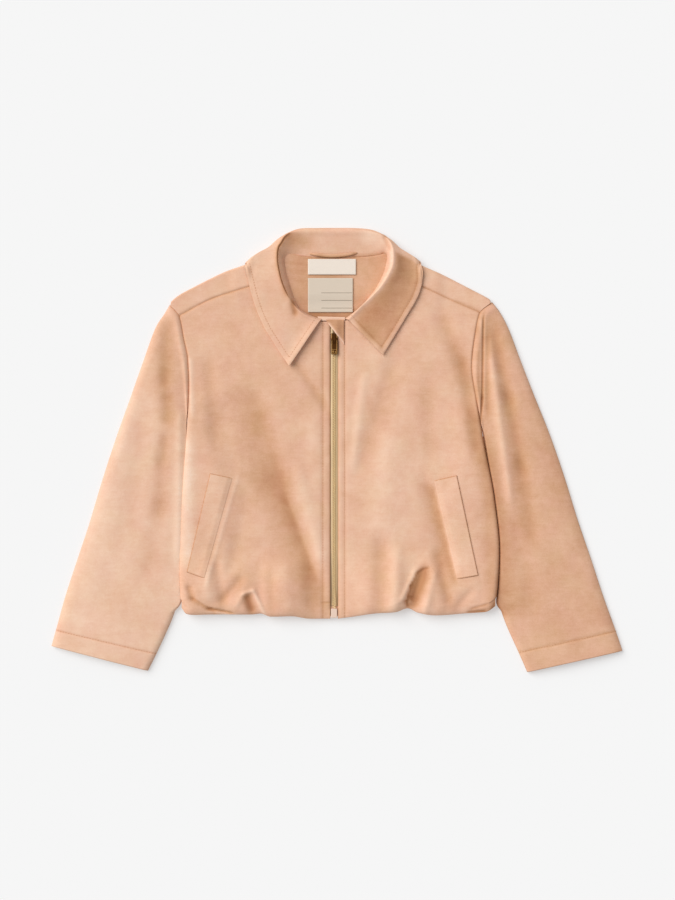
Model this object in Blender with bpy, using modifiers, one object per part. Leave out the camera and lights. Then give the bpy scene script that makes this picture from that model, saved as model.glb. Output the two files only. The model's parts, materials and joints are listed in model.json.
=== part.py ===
"""Child's cropped zip jacket in brushed suede-look cloth, lying flat on its back.

X runs to the wearer's left, Y from the hem up to the collar, Z up from the surface. The origin is
under the middle of the jacket. Lengths and places are in millimetres until a point becomes a vertex.
"""
import math
from collections import namedtuple

import bmesh
import bpy
from mathutils import Matrix

MM = 0.001
CLOTH = 1.2          # wall of every cut panel
TAPE = 1.0           # wall of the labels and the zip tapes
SEAM = 0.3           # clearance between two pieces that meet
JOIN = 0.5           # distance of each panel's edge from a curved seam line
LAID = 0.7           # clearance of a piece that lies on a curved panel
LAYER = CLOTH + SEAM

# Heights above the surface, each to the outer face of the cloth.
SHELL_TOP = 4.6      # fronts and shoulders, where nothing else lies under them
HEM_FOLD = 3.9       # the back's turned-up hem
SLEEVE_TUCK = 2.7    # sleeve where it lies under the body
SLEEVE_LIFT = 3.0    # how far that raises the back
LEAF_LIFT = 1.5      # how far the collar leaf behind the neck raises the back
EDGE_ROLL = 9.0      # width of the soft roll along a side
HEM_ROLL = 11.0      # depth of the roll of the bubble hem
HEM_TURN = 7.0       # how far the hem runs on under the roll
HEM_SET_BACK = 2.5   # the back's hem stays just inside the fronts'
HEM_LEVEL = -178.0   # where the body's width at the hem is read
NECK = 63.0          # half the width of the back neckline

# Zip, from the surface up: tapes, chain, slider, bail and pull tab.
ZIP_X = -3.0
TAPE_WIDTH = 13.0
TAPE_TOP = 2.6
TAPE_START, TAPE_END = 146.0, -169.5
CHAIN_WIDTH = 4.8
CHAIN_THICK = 2.2
CHAIN_START, CHAIN_END = 120.4, -181.0
SLIDER_SIZE = (7.6, 13.0, 3.1)
SLIDER_Y = 127.5
BAIL_WIDTH = 1.6
BAIL_Y = (123.9, 131.9)
BAIL_BAR = 1.0
HINGE_Y, HINGE_Z = 126.5, 7.1
TAB_WIDTH, TAB_LENGTH, TAB_THICK = 7.2, 17.6, 1.1
TAB_EYE = (3.5, 4.5)  # the hole that goes round the bail
TAB_BAR = 0.6        # half of the bar that turns inside the bail
STOP_SIZE = (7.1, 10.6, 2.8)
STOP_Y = -187.2

Edge = namedtuple("Edge", "y x")
Line = namedtuple("Line", "x y")
Fold = namedtuple("Fold", "name x0 y0 x1 y1 width height")
Bubble = namedtuple("Bubble", "x height")
Station = namedtuple("Station", "outer_x outer_y near_x near_y fold_x fold_y height bow")
Collar = namedtuple(
    "Collar", "seam_x seam_y seam_z crest_x crest_y crest_z bend_x bend_y edge_x edge_y under")
Corner = namedtuple("Corner", "x y")

# Armhole and side edge of the body, from the shoulder down. -1 is the wearer's right, 1 the left.
SIDE = {
    -1: [Edge(168, -193.5), Edge(154, -181.5), Edge(128, -176), Edge(103, -171.2), Edge(73, -170),
         Edge(48, -170.7), Edge(20, -172.5), Edge(-54, -177.7), Edge(-100, -179.5),
         Edge(-142, -180.8), Edge(-169, -179.4), Edge(-182, -176)],
    1: [Edge(170.8, 179.5), Edge(158, 164.5), Edge(140, 160), Edge(96, 155), Edge(62, 159.5),
        Edge(33, 164.5), Edge(11, 168), Edge(-56, 180.6), Edge(-116, 186.3), Edge(-147, 185.2),
        Edge(-170, 182.5), Edge(-182, 177)],
}
# Top edge of each front: neckline, then the forward shoulder seam.
FRONT_TOP = {
    -1: [Line(-7.6, 147.5), Line(-18, 147.5), Line(-33, 152), Line(-44, 161), Line(-50.5, 173),
         Line(-54.5, 187), Line(-58.5, 199.5), Line(-106, 186), Line(-143, 174), Line(-181.5, 154)],
    1: [Line(1.2, 147.5), Line(10, 148.5), Line(24, 158), Line(36, 170), Line(45, 182),
        Line(52, 193), Line(57, 202), Line(96.6, 188), Line(131, 172.5), Line(164.5, 158)],
}
# Fold of the shoulder, set back a little where the collar lies round it.
SHOULDER = {
    -1: [Line(-193.5, 168), Line(-183, 177), Line(-164, 187.4), Line(-146, 196.6), Line(-128, 205),
         Line(-112, 210.5), Line(-100, 210), Line(-80, 218.5), Line(-63, 229)],
    1: [Line(63, 229), Line(80, 215), Line(92, 208), Line(104, 206.5), Line(121, 203),
        Line(139, 193.4), Line(158, 183.5), Line(170, 177), Line(179.5, 170.8)],
}
HEM = {
    -1: [Line(-7.6, -193.5), Line(-31, -193.5), Line(-54, -190.5), Line(-78, -191), Line(-90, -186.5),
         Line(-101, -188.5), Line(-150, -188.5), Line(-168, -188.5), Line(-176, -185.5),
         Line(-181.5, -179)],
    1: [Line(1.2, -193.5), Line(18, -191.5), Line(44, -187.5), Line(72, -186), Line(87, -181.5),
        Line(104, -188), Line(127, -189.7), Line(148, -187.5), Line(159, -185), Line(164.5, -179)],
}
# Height that the bubble hem adds, across each front.
BUBBLE = {
    -1: [Bubble(-7.6, 2.8), Bubble(-20, 4.5), Bubble(-45, 8.0), Bubble(-75, 10.0), Bubble(-90, 6.0),
         Bubble(-108, 8.5), Bubble(-135, 7.5), Bubble(-160, 6.5), Bubble(-181.5, 4.0)],
    1: [Bubble(1.2, 2.8), Bubble(15, 4.5), Bubble(40, 8.5), Bubble(68, 10.5), Bubble(88, 4.5),
        Bubble(104, 9.5), Bubble(130, 8.5), Bubble(150, 6.0), Bubble(164.5, 4.0)],
}
# The largest folds of each front: a height above 0 is a ridge, below 0 a trough.
FOLDS = {
    -1: [Fold("chest hollow", -91, 47, -22, -152, 26, -1.4),
         Fold("bubble pleat", -92, -120, -88, -186, 13, -4.0),
         Fold("bubble ridge", -112, -135, -104, -178, 11, 1.6),
         Fold("side dimple", -168, -158, -160, -168, 8, -2.0),
         Fold("hem slit", -150, -172, -122, -184, 8, -2.4)],
    1: [Fold("chest hollow", 63, 90, 32, -6, 22, -1.4),
        Fold("shoulder hollow", 124, 147, 151, 101, 16, -1.2),
        Fold("comma pleat", 101, -134, 86, -180, 11, -6.0),
        Fold("hip ridge", 62, -110, 58, -176, 20, 1.6)],
}
# Sleeves, from the armhole to the cuff: outer edge, the point where the body covers it (or a point
# just inside the inner edge), inner edge, height, and how far the section bows along the armhole.
SLEEVE = {
    -1: [Station(-193.5, 166.5, -171.5, 47, -169.5, 42, 4.6, 1.0),
         Station(-200.5, 156, -174.5, 38, -171, 29, 6.0, 0.7),
         Station(-210, 139, -176.5, 22, -167.5, 10, 6.3, 0.35),
         Station(-222.5, 102, -178.5, -6, -159, -19, 6.3, 0.0),
         Station(-238, 58, -180.5, -40, -150, -54, 6.2, 0.0),
         Station(-254, 13, -182.2, -75, -152, -88, 6.3, 0.0),
         Station(-270, -36, -183.5, -108, -159, -118, 6.2, 0.0),
         Station(-285, -86, -184.5, -137, -168, -143, 6.3, 0.0),
         Station(-299, -128, -184.5, -163, -180, -168, 6.2, 0.0),
         Station(-312, -168, -196, -197.5, -190.5, -197, 6.2, 0.0),
         Station(-321.5, -202, -210.5, -230, -205, -229, 6.2, 0.0),
         Station(-328, -225, -222.5, -252, -217, -253.5, 6.0, 0.0)],
    1: [Station(180.5, 170, 166.5, 30, 164.5, 25, 4.6, 1.0),
        Station(188.5, 158.5, 171, 18, 167.5, 10, 6.0, 0.7),
        Station(198, 139, 175.5, 0, 164.5, -10, 6.3, 0.35),
        Station(212, 100, 180.5, -30, 158, -41, 6.3, 0.0),
        Station(226, 64, 185.5, -62, 152, -72, 6.2, 0.0),
        Station(244, 19, 188.5, -92, 158, -101, 6.3, 0.0),
        Station(261, -30, 190.5, -120, 166, -127, 6.2, 0.0),
        Station(276.5, -80, 190, -147, 176, -152, 6.3, 0.0),
        Station(291.5, -124, 190, -170, 184.5, -173, 6.2, 0.0),
        Station(306, -168, 197.5, -201, 192, -201, 6.2, 0.0),
        Station(320, -207, 210.5, -236.5, 205, -235.5, 6.2, 0.0),
        Station(328, -230.5, 224, -254, 218.5, -255, 6.0, 0.0)],
}
# Collar from its right front end, round the back of the neck, to its left front end: the neck
# seam, the crest of the roll, the point where the leaf bends round the shoulder (or just before
# its edge), and the leaf's edge, which lies under the back where under is 1.
COLLAR = [
    Collar(-17.5, 150.3, 4.6, -20, 147.5, 9.0, -50.5, 102, -54.6, 96, 0),
    Collar(-31.5, 155, 4.4, -34, 153.5, 9.0, -60, 116, -64, 109.5, 0),
    Collar(-41, 163.5, 4.2, -45.5, 162, 10.0, -69, 129.5, -73, 123.5, 0),
    Collar(-46.5, 174.5, 4.0, -53.5, 172, 12.0, -77.5, 143, -82, 138, 0),
    Collar(-50.5, 188, 3.8, -59.5, 187, 14.5, -85.5, 159, -90, 155, 0),
    Collar(-54.5, 201, 3.8, -64.5, 204, 16.0, -92, 176, -96.5, 173, 0),
    Collar(-57, 213, 3.8, -67, 219, 16.0, -97, 196, -102, 193.5, 0),
    Collar(-57.5, 222, 3.8, -66.5, 230, 15.0, -99, 216.5, -104.5, 215.5, 0),
    Collar(-57.5, 226.5, 3.8, -64.5, 237, 13.5, -97, 222.5, -98, 215.5, 1),
    Collar(-55, 229.5, 3.4, -61, 243.5, 11.5, -82.5, 230, -87, 207, 1),
    Collar(-50.5, 227.5, 3.0, -55.5, 248.5, 9.0, -65.5, 244, -76, 201, 1),
    Collar(-41, 224.5, 2.7, -43, 251.5, 7.0, -46, 253.5, -54, 197, 1),
    Collar(-21, 222.5, 2.7, -22, 252, 6.4, -22, 254.8, -26, 194.5, 1),
    Collar(0, 222, 2.7, 0, 252, 6.4, 0, 255, 0, 194, 1),
    Collar(20, 222.5, 2.7, 20, 252, 6.4, 20, 254.8, 24, 194.5, 1),
    Collar(38, 224, 2.7, 39, 250.5, 7.0, 42, 252.2, 50, 197, 1),
    Collar(49, 227.3, 3.0, 52, 246, 9.0, 62, 241.5, 70, 201, 1),
    Collar(54, 229.5, 3.4, 59.5, 240, 11.5, 76, 229, 78, 205, 1),
    Collar(56.5, 226.5, 3.8, 62.5, 234, 14.0, 88, 222, 89, 214.5, 1),
    Collar(56, 219, 3.8, 64, 225, 16.0, 91.5, 215.5, 97, 214.5, 0),
    Collar(54, 208, 3.8, 63.5, 212, 17.0, 94, 196, 97.5, 194, 0),
    Collar(50.5, 197, 3.8, 58.5, 200, 16.0, 86.5, 176, 91, 172.5, 0),
    Collar(43.5, 184.5, 3.8, 51, 188, 14.0, 77, 160, 81.5, 156.5, 0),
    Collar(34, 172.5, 4.0, 40, 176, 11.5, 67.5, 144, 72, 140.5, 0),
    Collar(22, 160.5, 4.4, 26.5, 163.5, 9.5, 58, 129, 62.5, 125, 0),
    Collar(9.5, 151, 4.6, 13, 149.5, 9.0, 47.5, 114, 52.6, 108.9, 0),
]
# Welts: upper outer, upper inner, lower inner and lower outer corner.
WELT = {
    -1: [Corner(-145.5, -26.7), Corner(-119.6, -32.2), Corner(-151.5, -147), Corner(-172, -139.7)],
    1: [Corner(137.4, -29), Corner(111.3, -35.1), Corner(137.4, -147.7), Corner(161.8, -143.5)],
}
# The turned flap over the top of the zip, and the band inside the neck between the collar's ends.
GARAGE = [Corner(-12.5, 149.6), Corner(6.3, 149.6), Corner(6.3, 124.2), Corner(-9.6, 144.2)]
NECK_BAND = [Corner(-22.5, 153.4), Corner(8.6, 152.6), Corner(8.6, 148.2), Corner(-20.5, 148.2)]
SIZE_LABEL = [Corner(-33.4, 219.4), Corner(21.9, 219.4), Corner(21.9, 201.3), Corner(-33.4, 201.3)]
NAME_LABEL = [Corner(-33.4, 197.5), Corner(18.4, 197.5), Corner(18.4, 158.2), Corner(-33.4, 158.2)]
# Hanger loop: the line along its middle and its height.
LOOP = [(-31, 225.2), (-22, 224.2), (-12, 223.2), (-3, 223), (8, 223.8), (16, 225), (23, 226.4)]
LOOP_WIDTH = 4.6
LOOP_TOP = 5.4
BAND_TOP = 3.7
GARAGE_TOP, GARAGE_HUMP = 6.5, 1.6

SUEDE = ("brushed_suede_cloth", "DEAF8F", 0.9, 0.0)
TAPE_CLOTH = ("woven_zip_tape", "D9BE93", 0.8, 0.0)
LABEL_SATIN = ("woven_label", "E9DFD2", 0.6, 0.0)
LABEL_NAME = ("printed_label", "D8D0C4", 0.6, 0.0)
BRASS = ("brass_teeth", "CDB07F", 0.4, 0.9)
BRONZE = ("dark_bronze", "4A3423", 0.4, 0.9)
MOULDED = ("moulded_stop", "EBCFBC", 0.5, 0.0)


def table(rows, key):
    """A smooth curve through the rows' last value against their first, held level past the ends."""
    rows = sorted(rows)
    keys = [row[0] for row in rows]
    values = [row[1] for row in rows]
    if key <= keys[0]:
        return values[0]
    if key >= keys[-1]:
        return values[-1]
    i = max(k for k in range(len(keys) - 1) if keys[k] <= key)
    slopes = [(values[k + 1] - values[k]) / (keys[k + 1] - keys[k]) for k in range(len(keys) - 1)]

    def tangent(k):
        if k in (0, len(keys) - 1):
            return slopes[min(k, len(slopes) - 1)]
        before, after = slopes[k - 1], slopes[k]
        return 0.0 if before * after <= 0 else 2 * before * after / (before + after)

    width = keys[i + 1] - keys[i]
    t = (key - keys[i]) / width
    rise = values[i + 1] - values[i]
    a = tangent(i) * width - rise
    b = rise - tangent(i + 1) * width
    return values[i] + t * rise + t * (1 - t) * (a * (1 - t) + b * t)


def ease(low, high, value):
    t = min(1.0, max(0.0, (value - low) / (high - low)))
    return t * t * (3 - 2 * t)


def mix(a, b, t):
    return a + (b - a) * t


def fold_height(folds, x, y):
    """Height of the folds at a place: each is widest and deepest in its middle and dies out past its ends."""
    height = 0.0
    for fold in folds:
        dx, dy = fold.x1 - fold.x0, fold.y1 - fold.y0
        length = math.hypot(dx, dy)
        along = ((x - fold.x0) * dx + (y - fold.y0) * dy) / length
        across = abs((x - fold.x0) * dy - (y - fold.y0) * dx) / length
        past = max(0.0, -along, along - length)
        reach = math.hypot(across, past) / fold.width
        height += fold.height * math.exp(-1.4 * reach * reach)
    return height


def side_x(side, y):
    return table(SIDE[side], y)


def sleeve_fold_x(side, y):
    """How far in the sleeve's hidden inner fold lies under the body."""
    return abs(table([(row.fold_y, row.fold_x) for row in SLEEVE[side]], y))


def back_lift(x, y):
    """Height of the back's outer face: raised where a sleeve or the collar leaf lies under it."""
    side = -1 if x < 0 else 1
    start = {-1: 60, 1: 46}[side]
    over_sleeve = ease(-22, -9, abs(x) - sleeve_fold_x(side, y))
    over_sleeve *= ease(0, 14, start + 8 - y) * ease(-196, -178, y)
    over_leaf = ease(166, 180, y) * ease(0, 10, 116 - abs(x))
    return SLEEVE_LIFT * over_sleeve + LEAF_LIFT * over_leaf


def front_lift(side, x, y):
    """The fronts bridge the same layers more gently than the back."""
    start = {-1: 62, 1: 46}[side]
    over_sleeve = ease(-46, -14, abs(x) - sleeve_fold_x(side, y)) * ease(0, 34, start + 20 - y)
    over_leaf = ease(160, 186, y) * ease(0, 16, 128 - abs(x))
    return SLEEVE_LIFT * over_sleeve + LEAF_LIFT * over_leaf


def shell_top(side, x, y):
    """Height of the outer face of a front or of the shoulder over it."""
    x = max(abs(x), 1.2) * side
    top_x = [Bubble(row.x, row.height) for row in BUBBLE[side]]
    bubble = table(top_x, x) * ease(-108, -172, y)
    dome = 1.3 * ease(8, 60, abs(x)) * ease(175, 110, y)
    return SHELL_TOP + front_lift(side, x, y) + dome + bubble + fold_height(FOLDS[side], x, y)


def rolled(side, x, y, height):
    """Brings a front's height down to its edge: a full roll at the side, a soft dip at the armhole."""
    inside = abs(side_x(side, y)) - abs(x)
    underarm = {-1: 44, 1: 28}[side]
    side_part = ease(underarm + 14, underarm - 6, y)
    at_side = back_lift(x, y) + LAYER + LAID + 3.0 * ease(-150, -176, y)
    at_armhole = SHELL_TOP - 0.6 + 0.5 * front_lift(side, x, y)
    edge = mix(at_armhole, at_side, side_part)
    t = min(1.0, max(0.0, inside / EDGE_ROLL))
    return edge + (height - edge) * math.sqrt(1 - (1 - t) ** 2)


def front_column(side, x):
    """The front's column, as its hem table counts them, that ends at this x on the hem."""
    first, last = FRONT_TOP[side][0].x, FRONT_TOP[side][-1].x
    return mix(first, last, (x - first) / (side_x(side, HEM_LEVEL) - first))


def front_grid(side):
    """Rows from the neck and shoulder to the hem and round under it, columns from the zip outwards."""
    top_rows, hem_rows = FRONT_TOP[side], HEM[side]
    first, last = top_rows[0].x, top_rows[-1].x
    from_zip = (0, 6, 15, 25, 35, 41, 46, 50, 68, 88, 108, 124, 138, 149)
    from_side = (15, 9, 4.5, 1.5, 0)
    columns = [first + side * step for step in from_zip]
    columns += [last - side * step for step in from_side]
    falls = (0, 0.03, 0.08, 0.14, 0.2, 0.27, 0.34, 0.42, 0.5, 0.57, 0.64, 0.71, 0.78, 0.84, 0.9, 0.95, 1)
    turns = (60, 30, 0, -40, -90)
    grid = []

    def place(column, y):
        share = (column - first) / (last - first)
        return first + share * (side_x(side, min(y, top_rows[-1].y)) - first)

    def height(column, y):
        x = place(column, y)
        return rolled(side, x, y, shell_top(side, x, y))

    for fall in falls:
        row = []
        for column in columns:
            top = table(top_rows, column) - JOIN
            y = mix(top, table(hem_rows, column) + HEM_ROLL, fall)
            row.append((place(column, y), y, height(column, y)))
        grid.append(row)
    for turn in turns:
        row = []
        for column in columns:
            hem = table(hem_rows, column)
            y = hem + HEM_ROLL * (1 - math.cos(math.radians(turn)))
            top = height(column, hem + HEM_ROLL)
            x = place(column, hem + HEM_ROLL * 0.5)
            low = HEM_FOLD + SEAM + back_lift(x, hem + HEM_ROLL)
            top = max(top, low + 2 * CLOTH + 3 * SEAM)
            z = mix(low, top, (1 + math.sin(math.radians(turn))) / 2)
            row.append((x, y, z))
        grid.append(row)
    grid.append([(x, y + HEM_TURN, z) for x, y, z in grid[-1]])
    return grid


def back_grid():
    """Rows from the turned-up hem, along the surface, over the shoulder to the forward seam."""
    right, left = SIDE[-1][0].x, SIDE[1][0].x
    outer = (0, 3, 10, 25, 45, 66, 88, 110, 124)
    columns = [right + step for step in outer] + [-NECK, -42, -21, 0, 21, 42, NECK]
    columns += [left - step for step in reversed((0, 3, 10, 25, 45, 62, 80, 93))]
    rises = (0, 0.06, 0.13, 0.22, 0.31, 0.4, 0.49, 0.57, 0.62, 0.67, 0.74, 0.81, 0.88, 0.93, 0.965, 1)

    def place(column, y):
        share = (column - right) / (left - right)
        inset = JOIN + 0.9 * ease(125, 150, y)
        return mix(side_x(-1, y) + inset, side_x(1, y) - inset, share)

    def hem(column):
        side = -1 if column < 0 else 1
        return table(HEM[side], front_column(side, place(column, HEM_LEVEL))) + HEM_SET_BACK

    def top(column):
        if abs(column) < NECK:
            return 221.5 + 8 * (column / NECK) ** 4
        side = -1 if column < 0 else 1
        return table(SHOULDER[side], column)

    def seam_y(side, column):
        y = table(FRONT_TOP[side], side * max(abs(column), 57))
        for _ in range(12):
            y = table(FRONT_TOP[side], side * max(abs(place(column, y)), 57))
        return y + JOIN

    def fold_radius(column):
        side = -1 if column < 0 else 1
        x, y = column, top(column) - 3
        return (shell_top(side, x, y) - back_lift(x, y)) / 2

    grid = []
    radius = HEM_FOLD / 2
    for turn in (12, 180, 130, 90, 45):
        row = []
        for column in columns:
            y, z = hem(column) + 12, HEM_FOLD
            if turn > 12:
                y = hem(column) + radius * (1 - math.sin(math.radians(turn)))
                z = radius * (1 - math.cos(math.radians(turn)))
            x = place(column, hem(column) + radius)
            row.append((x, y, z + back_lift(x, hem(column) + radius)))
        grid.append(row)
    for rise in rises:
        row = []
        for column in columns:
            end = top(column) - (0 if abs(column) < NECK else fold_radius(column))
            y = mix(hem(column) + radius, end, rise)
            x = place(column, y)
            row.append((x, y, back_lift(x, y)))
        grid.append(row)
    fold_row = len(grid) - 1
    for turn in (45, 90, 135, 180):
        row = []
        for column in columns:
            r = 2.3 if abs(column) < NECK else fold_radius(column)
            y = top(column) - r * (1 - math.sin(math.radians(turn)))
            x = place(column, top(column) - r)
            z = back_lift(x, top(column) - r) + r * (1 - math.cos(math.radians(turn)))
            row.append((x, y, z))
        grid.append(row)
    for share in (0.35, 0.7, 1):
        row = []
        for column in columns:
            side = -1 if column < 0 else 1
            seam = seam_y(side, column)
            start = top(column) - (2.3 if abs(column) < NECK else fold_radius(column))
            y = mix(start, seam, share)
            x = place(column, y)
            row.append((x, y, shell_top(side, x, y)))
        grid.append(row)
    neck_columns = [i for i in range(len(columns) - 1) if abs(columns[i] + columns[i + 1]) < 2 * NECK]
    open_neck = {(row, i) for row in range(fold_row, len(grid)) for i in neck_columns}
    return grid, open_neck


def sleeve_grid(side):
    """Rings from the armhole to the cuff. Each runs over the top from the outer edge, then back below."""
    armhole = SLEEVE[side][0]
    over = (0.0, 0.02, 0.07, 0.17, 0.3, 0.44, 0.58, 0.72, 0.86, 1.0)
    below = (0.05, 0.22, 0.4, 0.58, 0.76, 0.87, 0.96)
    rings = []
    for row in SLEEVE[side]:
        ring = []
        for share in over:
            x, y = mix(row.outer_x, row.near_x, share), mix(row.outer_y, row.near_y, share)
            line = mix(armhole.outer_x, armhole.near_x, share)
            seam = side_x(side, mix(armhole.outer_y, armhole.near_y, share)) + side * 2 * SEAM
            x += (seam - line) * row.bow
            rise = math.sqrt(1 - (1 - min(1.0, share / 0.11)) ** 2)
            fall = math.sqrt(1 - (1 - min(1.0, (1 - share) / 0.14)) ** 2)
            low = min(row.height, SLEEVE_TUCK if share > 0.5 else SLEEVE_TUCK * 0.8)
            z = low + (row.height - low) * rise * fall
            ring.append((x, y, z))
        ring[0] = (ring[0][0], ring[0][1], row.height * 0.42)
        middle_x, middle_y = mix(row.near_x, row.fold_x, 0.6), mix(row.near_y, row.fold_y, 0.6)
        ring.append((middle_x, middle_y, SLEEVE_TUCK))
        ring.append((row.fold_x, row.fold_y, SLEEVE_TUCK / 2))
        for share in below:
            x, y = mix(row.fold_x, row.outer_x, share), mix(row.fold_y, row.outer_y, share)
            line = mix(armhole.fold_x, armhole.outer_x, share)
            seam = side_x(side, mix(armhole.fold_y, armhole.outer_y, share)) + side * 2 * SEAM
            ring.append((x + (seam - line) * row.bow, y, 0.0))
        rings.append(ring)
    return rings


def collar_grid():
    """Sections across the collar: neck seam, fall inside the neck, roll, leaf, and its edge."""
    grid = []
    for row in COLLAR:
        side = -1 if row.crest_x < 0 else 1
        out_x, out_y = row.bend_x - row.crest_x, row.bend_y - row.crest_y
        reach = math.hypot(out_x, out_y)
        near = min(5.0, 0.3 * reach) / reach
        section = [(row.seam_x, row.seam_y, row.seam_z)]
        for share, height in ((0.45, 0.5), (0.82, 0.88), (1.0, 1.0)):
            section.append((mix(row.seam_x, row.crest_x, share), mix(row.seam_y, row.crest_y, share),
                            mix(row.seam_z, row.crest_z, height)))
        flat = CLOTH + LAID
        for share in (near, 0.4, 0.72):
            x, y = row.crest_x + out_x * share, row.crest_y + out_y * share
            laid = shell_top(side, x, y) + flat + 1.0
            if share == near:
                laid = max(laid, row.crest_z - 1.6)
            else:
                laid = max(laid, mix(row.crest_z - 1.6, laid, min(1.0, share * 1.5)))
            section.append((x, y, laid))
        if row.under:
            inward_x, inward_y = row.edge_x - row.bend_x, row.edge_y - row.bend_y
            length = math.hypot(inward_x, inward_y)
            inset = 2.0 / length
            top = min(section[-1][2], shell_top(side, row.bend_x, row.bend_y) + flat)
            section.append((row.bend_x + inward_x * inset, row.bend_y + inward_y * inset, top))
            section.append((row.bend_x, row.bend_y, top * 0.5))
            for share in (inset, 0.5, 1.0):
                section.append((row.bend_x + inward_x * share, row.bend_y + inward_y * share, 0.0))
        else:
            for share in (0.0, 0.3, 0.55, 0.8, 1.0):
                x, y = mix(row.bend_x, row.edge_x, share), mix(row.bend_y, row.edge_y, share)
                section.append((x, y, shell_top(side, x, y) + flat + 0.6 * (1 - share)))
        grid.append(section)
    return grid


def laid_grid(corners, rows, columns, height):
    """A four-cornered piece whose points lie at height(x, y)."""
    grid = []
    for i in range(rows + 1):
        row = []
        for j in range(columns + 1):
            u, v = j / columns, i / rows
            x = mix(mix(corners[0].x, corners[1].x, u), mix(corners[3].x, corners[2].x, u), v)
            y = mix(mix(corners[0].y, corners[1].y, u), mix(corners[3].y, corners[2].y, u), v)
            row.append((x, y, height(x, y)))
        grid.append(row)
    return grid


def welt_grid(side):
    def lie(x, y):
        return rolled(side, x, y, shell_top(side, x, y)) + CLOTH + LAID

    return laid_grid(WELT[side], 12, 3, lie)


def garage_grid():
    """The flap stands over the slider's head."""
    def lie(x, y):
        return GARAGE_TOP + GARAGE_HUMP * math.exp(-((x - ZIP_X) ** 2 + (y - SLIDER_Y - 6) ** 2) / 60)

    return laid_grid(GARAGE, 6, 6, lie)


def label_grid(corners, rows, columns):
    def lie(x, y):
        return back_lift(x, y) + CLOTH + LAID + TAPE

    return laid_grid(corners, rows, columns, lie)


def chain_top(y):
    """The chain lies on its tapes and climbs over the back's turned hem."""
    return TAPE_TOP + 2 * SEAM + CHAIN_THICK + 1.9 * ease(-158, -172, y)


def chain_grid():
    half = CHAIN_WIDTH / 2
    profile = ((-half, 0.6), (-0.62 * half, 0.1), (0, 0), (0.62 * half, 0.1), (half, 0.6))
    grid = []
    for step in range(17):
        y = mix(CHAIN_START, -150, step / 8) if step <= 8 else mix(-150, CHAIN_END, (step - 8) / 8)
        grid.append([(ZIP_X + x, y, chain_top(y) - drop) for x, drop in profile])
    return grid


def loop_grid():
    """A narrow strap that stands a little off the neck seam between its two sewn ends."""
    grid = []
    for i, (x, y) in enumerate(LOOP):
        end = i in (0, len(LOOP) - 1)
        top = LOOP_TOP - (0.7 if end else 0.0)
        grid.append([(x, y + LOOP_WIDTH / 2, top), (x, y, top + 0.1), (x, y - LOOP_WIDTH / 2, top)])
    return grid


def material(recipe):
    name, colour, roughness, metallic = recipe
    found = bpy.data.materials.get(name)
    if found:
        return found
    made = bpy.data.materials.new(name)
    made.use_nodes = True
    shader = made.node_tree.nodes["Principled BSDF"]
    channels = [int(colour[i:i + 2], 16) / 255 for i in (0, 2, 4)]
    linear = [c / 12.92 if c <= 0.04045 else ((c + 0.055) / 1.055) ** 2.4 for c in channels]
    shader.inputs["Base Color"].default_value = (*linear, 1.0)
    shader.inputs["Roughness"].default_value = roughness
    shader.inputs["Metallic"].default_value = metallic
    return made


def place_object(name, mesh, recipe, collection, smooth=True):
    obj = bpy.data.objects.new(name, mesh)
    collection.objects.link(obj)
    mesh.materials.append(material(recipe))
    if smooth:
        mesh.shade_smooth()
    return obj


def cloth(name, grid, recipe, collection, flip=False, ring=False, wall=CLOTH, skipped=()):
    """A wall of cloth whose outer face runs through the grid."""
    bm = bmesh.new()
    verts = [[bm.verts.new((x * MM, y * MM, z * MM)) for x, y, z in row] for row in grid]
    width = len(grid[0])
    for r in range(len(grid) - 1):
        for c in range(width if ring else width - 1):
            if (r, c) in skipped:
                continue
            d = (c + 1) % width
            corners = (verts[r][c], verts[r][d], verts[r + 1][d], verts[r + 1][c])
            bm.faces.new(tuple(reversed(corners)) if flip else corners)
    bmesh.ops.delete(bm, geom=[v for v in bm.verts if not v.link_faces], context="VERTS")
    mesh = bpy.data.meshes.new(name)
    bm.to_mesh(mesh)
    bm.free()
    obj = place_object(name, mesh, recipe, collection)
    solidify = obj.modifiers.new("wall", "SOLIDIFY")
    solidify.thickness = wall * MM
    solidify.offset = -1.0
    return obj


def block(name, size, centre, recipe, collection, bevel):
    """A box of the given size about a centre, its edges rounded by a Bevel."""
    bm = bmesh.new()
    bmesh.ops.create_cube(bm, size=1.0)
    for v in bm.verts:
        v.co = [v.co[i] * size[i] * MM for i in range(3)]
    mesh = bpy.data.meshes.new(name)
    bm.to_mesh(mesh)
    bm.free()
    obj = place_object(name, mesh, recipe, collection)
    obj.location = [c * MM for c in centre]
    rounding = obj.modifiers.new("edges", "BEVEL")
    rounding.width = bevel * MM
    rounding.segments = 2
    return obj


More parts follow.
